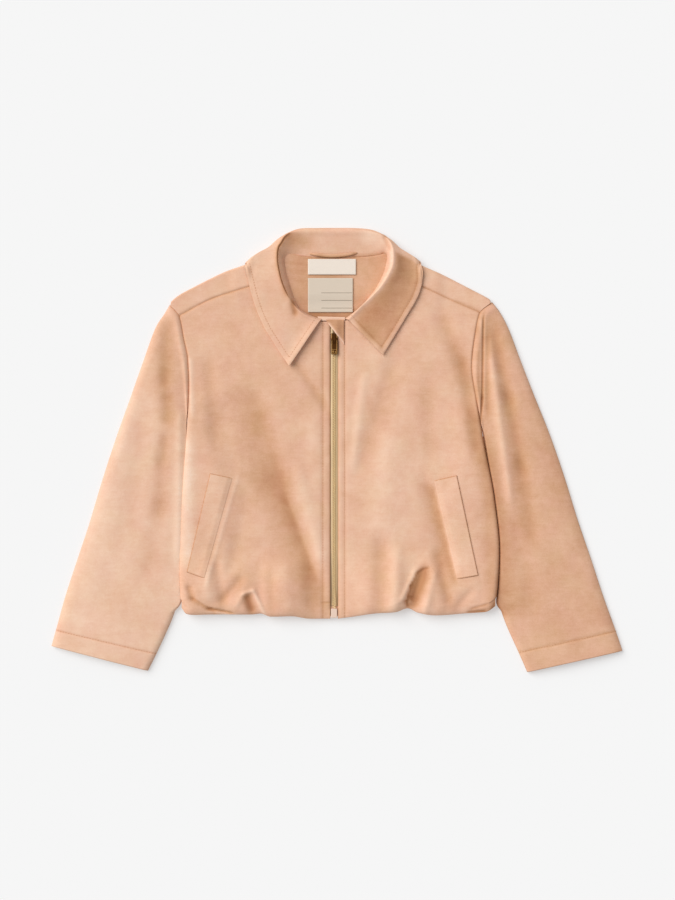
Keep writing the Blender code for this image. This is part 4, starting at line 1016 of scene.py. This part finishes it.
def boxes(name, bars, paint):
    """Bars with rounded edges, as one object."""
    mesh = bpy.data.meshes.new(name)
    points, faces = [], []
    for bar in bars:
        first = len(points)
        for k in range(8):
            across, along, up = k % 2 - 0.5, k // 2 % 2 - 0.5, k // 4 - 0.5
            points.append(((bar.x + across * bar.wide) * MM, (bar.y + along * bar.long) * MM,
                           (bar.z + up * bar.high) * MM))
        faces += [[first + k for k in face] for face in
                  ((0, 2, 3, 1), (4, 5, 7, 6), (0, 1, 5, 4), (2, 6, 7, 3), (0, 4, 6, 2), (1, 3, 7, 5))]
    mesh.from_pydata(points, [], faces)
    obj = add_object(name, mesh, paint)
    bevel = obj.modifiers.new("rounded", "BEVEL")
    bevel.width = 0.12 * MM
    bevel.segments = 2
    return obj


def settle(obj, nodes=(), body=BODY):
    """Hides the CAD nodes that a finished piece stands for, and attaches it to the body it moves with."""
    if nodes:
        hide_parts(*nodes)
    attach(obj, body)


def drop_on(obj, points, lift):
    """Puts points (x, y) on the upper face of a piece, a little above it."""
    graph = bpy.context.evaluated_depsgraph_get()
    tree = BVHTree.FromObject(obj, graph)
    placed = []
    for x, y in points:
        hit = tree.ray_cast(Vector((x * MM, y * MM, 0.5)), Vector((0, 0, -1)))[0]
        if hit is not None:
            placed.append((hit.x, hit.y, hit.z + lift * MM))
    return placed


def line_mesh(name, lines):
    """A mesh of open lines, each through its own points."""
    points, edges = [], []
    for line in lines:
        first = len(points)
        points += [tuple(point) for point in line]
        edges += [(first + k, first + k + 1) for k in range(len(line) - 1)]
    mesh = bpy.data.meshes.new(name)
    mesh.from_pydata(points, edges, [])
    return mesh


def add(tree, kind, links=None, values=None, **settings):
    """Adds a node with its settings, the values of its sockets and the links into them."""
    node = tree.nodes.new(kind)
    for key, value in settings.items():
        setattr(node, key, value)
    for key, value in (values or {}).items():
        node.inputs[key].default_value = value
    for key, source in (links or {}).items():
        tree.links.new(source, node.inputs[key])
    return node


def linear(colour):
    """An sRGB hex colour as linear red, green, blue and alpha."""
    channels = [int(colour[i:i + 2], 16) / 255 for i in (0, 2, 4)]
    return (*(c / 12.92 if c <= 0.04045 else ((c + 0.055) / 1.055) ** 2.4 for c in channels), 1.0)


def new_material(name, finish):
    """A material with these values in its shader's sockets."""
    material = bpy.data.materials.new(name)
    material.use_nodes = True
    shader = material.node_tree.nodes["Principled BSDF"]
    for socket, value in finish.items():
        shader.inputs[socket].default_value = value
    return material, material.node_tree, shader


def coloured(tree, shader, pattern, colour, darker):
    """Gives a finish its colour where the pattern is high, and a darker one where it is low."""
    base = linear(colour)
    tint = add(tree, "ShaderNodeMix", {0: pattern}, data_type="RGBA")
    tint.inputs[6].default_value = tuple(c * (1 - darker) for c in base[:3]) + (1.0,)
    tint.inputs[7].default_value = base
    tree.links.new(tint.outputs[2], shader.inputs["Base Color"])


def bumped(tree, shader, pattern, strength, height):
    """Raises a finish by a pattern, up to this many millimetres."""
    bump = add(tree, "ShaderNodeBump", {"Height": pattern}, {"Strength": strength, "Distance": height * MM})
    tree.links.new(bump.outputs[0], shader.inputs["Normal"])


def suede_cloth(name, attribute, shades):
    """Brushed polyester suede: no gloss, a soft sheen at grazing angles, painted shade and painted light
    from its tone attribute, a little cloudy, with a faint horizontal slub of the knit behind it."""
    material, tree, shader = new_material(name, {
        "Roughness": 0.95, "Specular IOR Level": 0.2, "Sheen Weight": 0.12, "Sheen Roughness": 0.45,
        "Sheen Tint": linear(shades[-1])})
    place = add(tree, "ShaderNodeTexCoord").outputs["Object"]
    stretch = add(tree, "ShaderNodeMapping", {"Vector": place}, {"Scale": (60.0, 480.0, 60.0)})
    clouds, patches, slub, pile = (
        add(tree, "ShaderNodeTexNoise", {"Vector": where}, {"Scale": scale, **rest}).outputs["Fac"]
        for where, scale, rest in (
            (place, 1 / (34 * MM), {"Detail": 4.0, "Roughness": 0.55, "Distortion": 0.3}),
            (place, 1 / (8 * MM), {"Detail": 3.0, "Roughness": 0.6}),
            (stretch.outputs[0], 1.0, {"Detail": 3.0, "Roughness": 0.65}),
            (place, 1 / (1.5 * MM), {"Detail": 2.0, "Roughness": 0.7})))
    # The tone attribute: painted shade below 0 and painted light above it.
    shaded = add(tree, "ShaderNodeAttribute", attribute_name=attribute)
    shade = add(tree, "ShaderNodeMath", {0: shaded.outputs["Fac"]}, {1: 0.4, 2: 0.5},
                operation="MULTIPLY_ADD").outputs[0]
    for pattern, weight in ((clouds, 0.36), (patches, 0.18), (slub, 0.14), (pile, 0.22)):
        centred = add(tree, "ShaderNodeMath", {0: pattern}, {1: 0.5}, operation="SUBTRACT")
        shade = add(tree, "ShaderNodeMath", {0: centred.outputs[0], 2: shade}, {1: weight},
                    operation="MULTIPLY_ADD").outputs[0]
    ramp = add(tree, "ShaderNodeValToRGB", {"Fac": shade})
    stops = ramp.color_ramp.elements
    stops[0].position, stops[1].position = 0.05, 0.95
    stops[0].color, stops[1].color = linear(shades[0]), linear(shades[-1])
    for share, colour in zip((0.275, 0.5, 0.725), shades[1:-1]):
        stops.new(share).color = linear(colour)
    drift = add(tree, "ShaderNodeTexNoise", {"Vector": place},
                {"Scale": 1 / (27 * MM), "Detail": 3.0, "W": 3.0}, noise_dimensions="4D")
    hue = add(tree, "ShaderNodeMath", {0: drift.outputs["Fac"]}, {1: 0.024, 2: 0.488},
              operation="MULTIPLY_ADD")
    tinted = add(tree, "ShaderNodeHueSaturation", {"Color": ramp.outputs["Color"], "Hue": hue.outputs[0]})
    tree.links.new(tinted.outputs[0], shader.inputs["Base Color"])
    grain = add(tree, "ShaderNodeMath", {0: pile, 1: slub}, operation="ADD")
    bumped(tree, shader, grain.outputs[0], 0.35, 0.4)
    return material


def woven(name, colour, thread, roughness, contrast, sheen=0.0):
    """A plain or satin weave: fine crossed threads, no gloss of its own but a little sheen."""
    material, tree, shader = new_material(name, {"Roughness": roughness, "Sheen Weight": sheen})
    place = add(tree, "ShaderNodeTexCoord").outputs["Object"]
    lines = {"Scale": 0.314 / (thread * MM), "Distortion": 0.6, "Detail Scale": 3.0}
    warp, weft = (add(tree, "ShaderNodeTexWave", {"Vector": place}, lines, bands_direction=along)
                  for along in "XY")
    weave = add(tree, "ShaderNodeMath", {0: warp.outputs["Fac"], 1: weft.outputs["Fac"]},
                operation="MULTIPLY")
    coloured(tree, shader, weave.outputs[0], colour, contrast)
    bumped(tree, shader, weave.outputs[0], 0.4, 0.2)
    return material


def mottled(name, colour, darker, size, detail, finish):
    """A finish with soft darker places of about this size in millimetres."""
    material, tree, shader = new_material(name, finish)
    place = add(tree, "ShaderNodeTexCoord").outputs["Object"]
    cloudy = add(tree, "ShaderNodeTexNoise", {"Vector": place}, {"Scale": 1 / (size * MM), "Detail": detail})
    coloured(tree, shader, cloudy.outputs["Fac"], colour, darker)
    return material


def metal(name, colour, roughness, worn):
    """A plated zinc or brass casting: an even satin shine, a little darker where it is worn."""
    return mottled(name, colour, worn, 2.5, 3.0, {"Metallic": 1.0, "Roughness": roughness})


def plain(name, colour, roughness):
    """Dyed thread, print or moulded resin, with a faint unevenness of colour."""
    return mottled(name, colour, 0.1, 3.0, 2.0, {"Roughness": roughness})


def new_tree(name, lengths):
    """A geometry node tree with one mesh input and the named lengths, in millimetres."""
    tree = bpy.data.node_groups.new(name, "GeometryNodeTree")
    tree.interface.new_socket("Geometry", in_out="INPUT", socket_type="NodeSocketGeometry")
    for length, default in lengths.items():
        socket = tree.interface.new_socket(length, in_out="INPUT", socket_type="NodeSocketFloat")
        socket.default_value = default * MM
    tree.interface.new_socket("Material", in_out="INPUT", socket_type="NodeSocketMaterial")
    tree.interface.new_socket("Geometry", in_out="OUTPUT", socket_type="NodeSocketGeometry")
    return tree, add(tree, "NodeGroupInput"), add(tree, "NodeGroupOutput")


def evenly(tree, given):
    """Points along each line, one pitch apart."""
    curve = add(tree, "GeometryNodeMeshToCurve", {"Mesh": given.outputs["Geometry"]})
    return add(tree, "GeometryNodeResampleCurve",
               {"Curve": curve.outputs[0], "Length": given.outputs["Pitch"]}, mode="LENGTH").outputs[0]


def set_out(tree, given, result, links):
    """Puts a piece on each point and gives the whole row its material."""
    rows = add(tree, "GeometryNodeInstanceOnPoints", links)
    solid = add(tree, "GeometryNodeRealizeInstances", {"Geometry": rows.outputs[0]})
    painted = add(tree, "GeometryNodeSetMaterial",
                  {"Geometry": solid.outputs[0], "Material": given.outputs["Material"]})
    tree.links.new(painted.outputs[0], result.inputs[0])
    return tree


def stitch_tree():
    """Lays thread stitches end to end along each line, with a small gap where the thread dives."""
    tree, given, result = new_tree("topstitch_rows", {"Pitch": 3.0, "Length": 2.2, "Thread": 0.5})
    thread = add(tree, "GeometryNodeMeshUVSphere", {}, {"Segments": 6, "Rings": 4, "Radius": 0.5})
    size = add(tree, "ShaderNodeCombineXYZ", {"X": given.outputs["Length"], "Y": given.outputs["Thread"],
                                              "Z": given.outputs["Thread"]})
    tangent = add(tree, "GeometryNodeInputTangent")
    turn = add(tree, "FunctionNodeAlignRotationToVector", {"Vector": tangent.outputs[0]}, axis="X")
    return set_out(tree, given, result, {"Points": evenly(tree, given), "Instance": thread.outputs[0],
                                         "Rotation": turn.outputs[0], "Scale": size.outputs[0]})


def teeth_tree():
    """Sets zip teeth along a line, by turns from the left and from the right tape."""
    tree, given, result = new_tree("zip_teeth_rows", {
        "Pitch": 1.3, "Width": 2.7, "Length": 1.2, "Height": 2.0, "Offset": 0.6})
    index = add(tree, "GeometryNodeInputIndex")
    odd = add(tree, "ShaderNodeMath", {0: index.outputs[0]}, {1: 2.0}, operation="MODULO")
    swing = add(tree, "ShaderNodeMath", {0: odd.outputs[0]}, {1: 2.0, 2: -1.0}, operation="MULTIPLY_ADD")
    aside = add(tree, "ShaderNodeMath", {0: swing.outputs[0], 1: given.outputs["Offset"]},
                operation="MULTIPLY")
    shift = add(tree, "ShaderNodeCombineXYZ", {"X": aside.outputs[0]})
    size = add(tree, "ShaderNodeCombineXYZ", {"X": given.outputs["Width"], "Y": given.outputs["Length"],
                                              "Z": given.outputs["Height"]})
    block = add(tree, "GeometryNodeMeshCube", {"Size": size.outputs[0]})
    rounded = add(tree, "GeometryNodeSubdivisionSurface", {"Mesh": block.outputs[0]},
                  {"Level": 1, "Edge Crease": 0.55})
    placed = add(tree, "GeometryNodeSetPosition",
                 {"Geometry": evenly(tree, given), "Offset": shift.outputs[0]})
    return set_out(tree, given, result, {"Points": placed.outputs[0], "Instance": rounded.outputs[0]})


def grow(name, source, tree, lengths, paint):
    """Runs a node tree on a mesh of lines and keeps the result as a plain mesh."""
    obj = bpy.data.objects.new(name, source)
    bpy.context.scene.collection.objects.link(obj)
    modifier = obj.modifiers.new("rows", "NODES")
    modifier.node_group = tree
    given = dict(lengths, Material=paint)
    for item in tree.interface.items_tree:
        if item.in_out == "INPUT" and item.name in given:
            modifier[item.identifier] = given[item.name]
    graph = bpy.context.evaluated_depsgraph_get()
    made = bpy.data.meshes.new_from_object(obj.evaluated_get(graph))
    obj.modifiers.remove(modifier)
    obj.data = made
    made.name = name
    return obj


def a_length(name, default, description, **limits):
    """A length that can be set in the panel, in metres."""
    return bpy.props.FloatProperty(name=name, description=description, default=default, unit="LENGTH",
                                   **limits)


def a_colour(name, default, description="Its colour"):
    """A colour that can be set in the panel."""
    return bpy.props.StringProperty(name=name, description=f"{description}, as sRGB hex", default=default)


class JacketSizes(bpy.types.PropertyGroup):
    grain: a_length("Cloth mesh step", 0.0018, "Distance between the points of the cloth meshes",
                    min=0.0012, max=0.01)
    wall: a_length("Cloth thickness", 0.0012, "Thickness of the cut panels")
    collar_wall: a_length("Collar thickness", 0.0014, "Thickness of the two layers of the collar")
    stitch_pitch: a_length("Stitch pitch", 0.0031, "Distance from one topstitch to the next")
    stitch_thread: a_length("Thread", 0.00055, "Thickness of the topstitch thread")
    tooth_pitch: a_length("Tooth pitch", 0.0014, "Distance from one zip tooth to the next")


class JacketColours(bpy.types.PropertyGroup):
    # The suede's colour ramp: painted shade runs down towards the darkest stop, painted light up towards the
    # lightest, random patches round the middle.
    suede: a_colour("Suede", "E1B396", "Middle colour of the cloth")
    suede_shaded: a_colour("Suede, nap stroked flat", "B9845F", "Its darkest colour")
    suede_dark: a_colour("Suede, nap down", "CE9D7A", "Its darker patches")
    suede_light: a_colour("Suede, nap up", "EDC8AE", "Its lighter patches")
    suede_lit: a_colour("Suede, nap standing", "F6DDCB", "Its lightest colour")
    thread: a_colour("Thread", "C9936D", "Topstitch thread")
    tape: a_colour("Zip tape", "E8CDA2")
    brass: a_colour("Zip teeth", "F8DFAE")
    bronze: a_colour("Slider", "6A4320")
    # Lighter metal of the raised edges: partly wear, partly a painted highlight.
    worn: a_colour("Worn edges of the slider", "D9A765")
    stop: a_colour("Bottom stop", "EBCFBC")
    size_label: a_colour("Upper label", "F1E4D6")
    name_label: a_colour("Lower label", "DFCFBC")
    print_ink: a_colour("Ruled lines", "8C7A66")
    floor: a_colour("Floor", "C0C0C0")


def sizes():
    return bpy.context.scene.jacket_sizes


def colours():
    return bpy.context.scene.jacket_colours


def suede_paint(attribute):
    """The suede of all cloth pieces, one material for each face, made the first time it is asked for."""
    name = f"brushed_polyester_suede_{attribute}"
    looks = colours()
    shades = (looks.suede_shaded, looks.suede_dark, looks.suede, looks.suede_light, looks.suede_lit)
    return bpy.data.materials.get(name) or suede_cloth(name, attribute, shades)


class JACKET_OT_body(bpy.types.Operator):
    """Back and fronts, with the bubble hem"""
    bl_idname = "jacket.body"
    bl_label = "Body"

    def execute(self, context):
        grain, wall = sizes().grain / MM, sizes().wall / MM
        surface, opening = back_surface(1.3 * grain)
        back = suede_piece("back_cloth", surface, wall, flip=True, skipped=opening)
        settle(back, ["back"])
        for side, name in SIDES:
            front = suede_piece(f"front_{name}_cloth", front_surface(side, grain), wall, flip=side > 0)
            settle(front, [f"front_{name}"])
        return {"FINISHED"}


class JACKET_OT_sleeves(bpy.types.Operator):
    """Both sleeves, as flattened tubes"""
    bl_idname = "jacket.sleeves"
    bl_label = "Sleeves"

    def execute(self, context):
        for side, name in SIDES:
            sleeve = suede_piece(f"sleeve_{name}_cloth", sleeve_surface(side, sizes().grain / MM),
                                 sizes().wall / MM, flip=side < 0, ring=True)
            settle(sleeve, [f"sleeve_{name}"])
        return {"FINISHED"}


class JACKET_OT_collar(bpy.types.Operator):
    """Shirt collar, from the neck seam over the roll to the leaf's points"""
    bl_idname = "jacket.collar"
    bl_label = "Collar"

    def execute(self, context):
        collar = suede_piece("collar_cloth", collar_surface(), sizes().collar_wall / MM, flip=True)
        settle(collar, ["collar"])
        return {"FINISHED"}


class JACKET_OT_pockets(bpy.types.Operator):
    """The two slanted pocket welts"""
    bl_idname = "jacket.pockets"
    bl_label = "Pocket welts"

    def execute(self, context):
        for side, name in SIDES:
            welt = suede_piece(f"welt_{name}_cloth", welt_surface(side), SMALL_WALL, flip=side < 0)
            settle(welt, [f"welt_{name}"])
        return {"FINISHED"}


class JACKET_OT_neck(bpy.types.Operator):
    """What shows inside the neck: labels, hanger loop and the turned band"""
    bl_idname = "jacket.neck"
    bl_label = "Inside the neck"

    def execute(self, context):
        looks = colours()
        satin = woven("woven_satin_label", looks.size_label, 0.35, 0.5, 0.06, 0.2)
        cotton = woven("woven_cotton_label", looks.name_label, 0.4, 0.85, 0.08)
        for node, corners, paint, flat in (("size_label", SIZE_LABEL, satin, (0.056, 0.019)),
                                           ("name_label", NAME_LABEL, cotton, (0.052, 0.040))):
            label = cloth_piece(f"{node}_cloth", laid_surface(corners, LABEL_GRAIN, on_back), paint,
                                LABEL_WALL, flip=True)
            settle(label, [node])
        ink = plain("label_print", looks.print_ink, 0.9)
        near, far = RULE_ENDS
        for row, low in enumerate(RULES):
            high = low + RULE_WIDTH
            corners = [Line(near, high), Line(far, high), Line(far, low), Line(near, low)]
            surface = laid_surface(corners, LABEL_GRAIN, on_label, dip=0.0, edge=RULE_WALL)
            settle(cloth_piece(f"label_rule_{row + 1}", surface, ink, RULE_WALL, flip=True))
        loop = suede_piece("hanger_loop_cloth", loop_surface(), SMALL_WALL)
        settle(loop, ["hanger_loop"])
        # The band's tone is painted light, where its turned edge catches the lamp.
        band = laid_surface(NECK_BAND, SMALL_GRAIN, level(BAND_LIE), tone=level(0.5))
        band = suede_piece("neck_band_cloth", band, SMALL_WALL, flip=True)
        settle(band, ["neck_band"])
        return {"FINISHED"}


class JACKET_OT_zip(bpy.types.Operator):
    """Tapes, interlocked teeth, bottom stop, slider, pull tab and the flap over its top"""
    bl_idname = "jacket.zip"
    bl_label = "Zip"

    def execute(self, context):
        looks = colours()
        tape = woven("woven_zip_tape", looks.tape, 0.5, 0.8, 0.14)
        for side, name in SIDES:
            near, far = ZIP_X + side * TAPE_INNER, ZIP_X + side * TAPE_OUTER
            corners = [Line(far, ZIP_TOP), Line(near, ZIP_TOP), Line(near, ZIP_FOOT), Line(far, ZIP_FOOT)]
            piece = cloth_piece(f"zip_tape_{name}_cloth", laid_surface(corners, TAPE_GRAIN, tape_top), tape,
                                TAPE_WALL, flip=side < 0)
            settle(piece, [f"zip_tape_{name}"])
        brass = metal("satin_brass_teeth", looks.brass, 0.62, 0.08)
        path = [(ZIP_X * MM, y * MM, (CHAIN_LIE + CHAIN_RISE * float(ease(-158, -172, y))) * MM)
                for y in spaced(TEETH_TOP, ZIP_FOOT, 2.0)]
        teeth = grow("zip_teeth", line_mesh("zip_line", [path]), teeth_tree(),
                     {"Pitch": sizes().tooth_pitch}, brass)
        settle(teeth, ["zip_chain"])
        bronze = metal("dark_bronze_plating", looks.bronze, 0.35, 0.3)
        resin = plain("moulded_resin_stop", looks.stop, 0.45)
        for node, paint in (("zip_slider", bronze), ("pull_tab", bronze), ("zip_stop", resin)):
            cast = frame["nodes"][node].data
            cast.materials.clear()
            cast.materials.append(paint)
        # Lighter bars on the raised edges: partly wear, partly a painted highlight.
        worn = metal("worn_and_highlit_bronze_edges", looks.worn, 0.45, 0.35)
        settle(boxes("pull_tab_rim", TAB_RIM, worn), body="pull_tab")
        settle(boxes("zip_slider_bridge", SLIDER_RIM, worn))
        garage = suede_piece("zip_garage_cloth", garage_surface(), SMALL_WALL, flip=True)
        settle(garage, ["zip_garage"])
        return {"FINISHED"}


class JACKET_OT_stitches(bpy.types.Operator):
    """Topstitching of the front edges, collar and sleeve hems"""
    bl_idname = "jacket.stitches"
    bl_label = "Topstitching"

    def execute(self, context):
        cloth = bpy.data.objects
        lines = []
        for side, name in SIDES:
            x = FRONT_TOP[side][0].x + side * PLACKET_STITCH[side]
            placket = dense([(x, ZIP_TOP), (x, STITCH_FOOT)], 3)
            lines.append(drop_on(cloth[f"front_{name}_cloth"], placket, STITCH_LIE))
            lines.append(drop_on(cloth[f"sleeve_{name}_cloth"], dense(SLEEVE_HEM[side], 3), STITCH_LIE))
            lines.append(drop_on(cloth["collar_cloth"], inset_edge(side), STITCH_LIE))
        paint = plain("polyester_thread", colours().thread, 0.7)
        thread = {"Pitch": sizes().stitch_pitch, "Thread": sizes().stitch_thread}
        stitches = grow("topstitching", line_mesh("stitch_lines", lines), stitch_tree(), thread, paint)
        settle(stitches)
        return {"FINISHED"}


class JACKET_OT_stage(bpy.types.Operator):
    """Pale floor, soft light from beyond the right shoulder, and the camera straight above"""
    bl_idname = "jacket.stage"
    bl_label = "Stage"

    def execute(self, context):
        scene = context.scene
        scene.view_settings.view_transform = "Standard"
        # A matt white table top: no gloss, and a glow that leaves only soft shadows close to the cloth.
        pale = linear(colours().floor)
        paint = new_material("matt_white_table", {
            "Base Color": pale, "Emission Color": pale, "Emission Strength": FLOOR_GLOW,
            "Roughness": 0.9, "Specular IOR Level": 0.0})[0]
        x, y = np.meshgrid([-FLOOR_REACH, FLOOR_REACH], [-FLOOR_REACH, FLOOR_REACH])
        add_object("floor", build_mesh("floor", (x, y, np.full(x.shape, FLOOR_LEVEL))), paint)
        world = bpy.data.worlds.new("soft_studio")
        world.use_nodes = True
        sky = world.node_tree.nodes["Background"].inputs
        sky["Color"].default_value = (1, 1, 1, 1)
        sky["Strength"].default_value = SKY_GLOW
        scene.world = world
        key = bpy.data.lights.new("key", "SUN")
        key.energy = SUN_ENERGY
        key.angle = SUN_WIDTH
        lamp = bpy.data.objects.new("key", key)
        scene.collection.objects.link(lamp)
        lamp.rotation_euler = Vector(SUN_FROM).to_track_quat("Z", "Y").to_euler()
        camera = bpy.data.objects.new("camera", bpy.data.cameras.new("camera"))
        camera.data.lens = LENS
        camera.location = (VIEW_X, 0.0, VIEW_HEIGHT * LENS / FILM)
        scene.collection.objects.link(camera)
        scene.camera = camera
        return {"FINISHED"}


STEPS = (JACKET_OT_body, JACKET_OT_sleeves, JACKET_OT_collar, JACKET_OT_pockets, JACKET_OT_neck,
         JACKET_OT_zip, JACKET_OT_stitches, JACKET_OT_stage)


class JACKET_PT_panel(bpy.types.Panel):
    bl_idname = "JACKET_PT_panel"
    bl_label = "Jacket"
    bl_space_type = "VIEW_3D"
    bl_region_type = "UI"
    bl_category = "Jacket"

    def draw(self, context):
        for group in (context.scene.jacket_sizes, context.scene.jacket_colours):
            box = self.layout.box()
            for name in group.__annotations__:
                box.prop(group, name)
        for step in STEPS:
            self.layout.operator(step.bl_idname)


CLASSES = (JacketSizes, JacketColours, *STEPS, JACKET_PT_panel)


def register():
    for made in CLASSES:
        bpy.utils.register_class(made)
    bpy.types.Scene.jacket_sizes = bpy.props.PointerProperty(type=JacketSizes)
    bpy.types.Scene.jacket_colours = bpy.props.PointerProperty(type=JacketColours)


def unregister():
    del bpy.types.Scene.jacket_colours
    del bpy.types.Scene.jacket_sizes
    for made in reversed(CLASSES):
        bpy.utils.unregister_class(made)


def main():
    register()
    for step in STEPS:
        group, name = step.bl_idname.split(".")
        getattr(getattr(bpy.ops, group), name)()


if __name__ == "__main__":
    main()
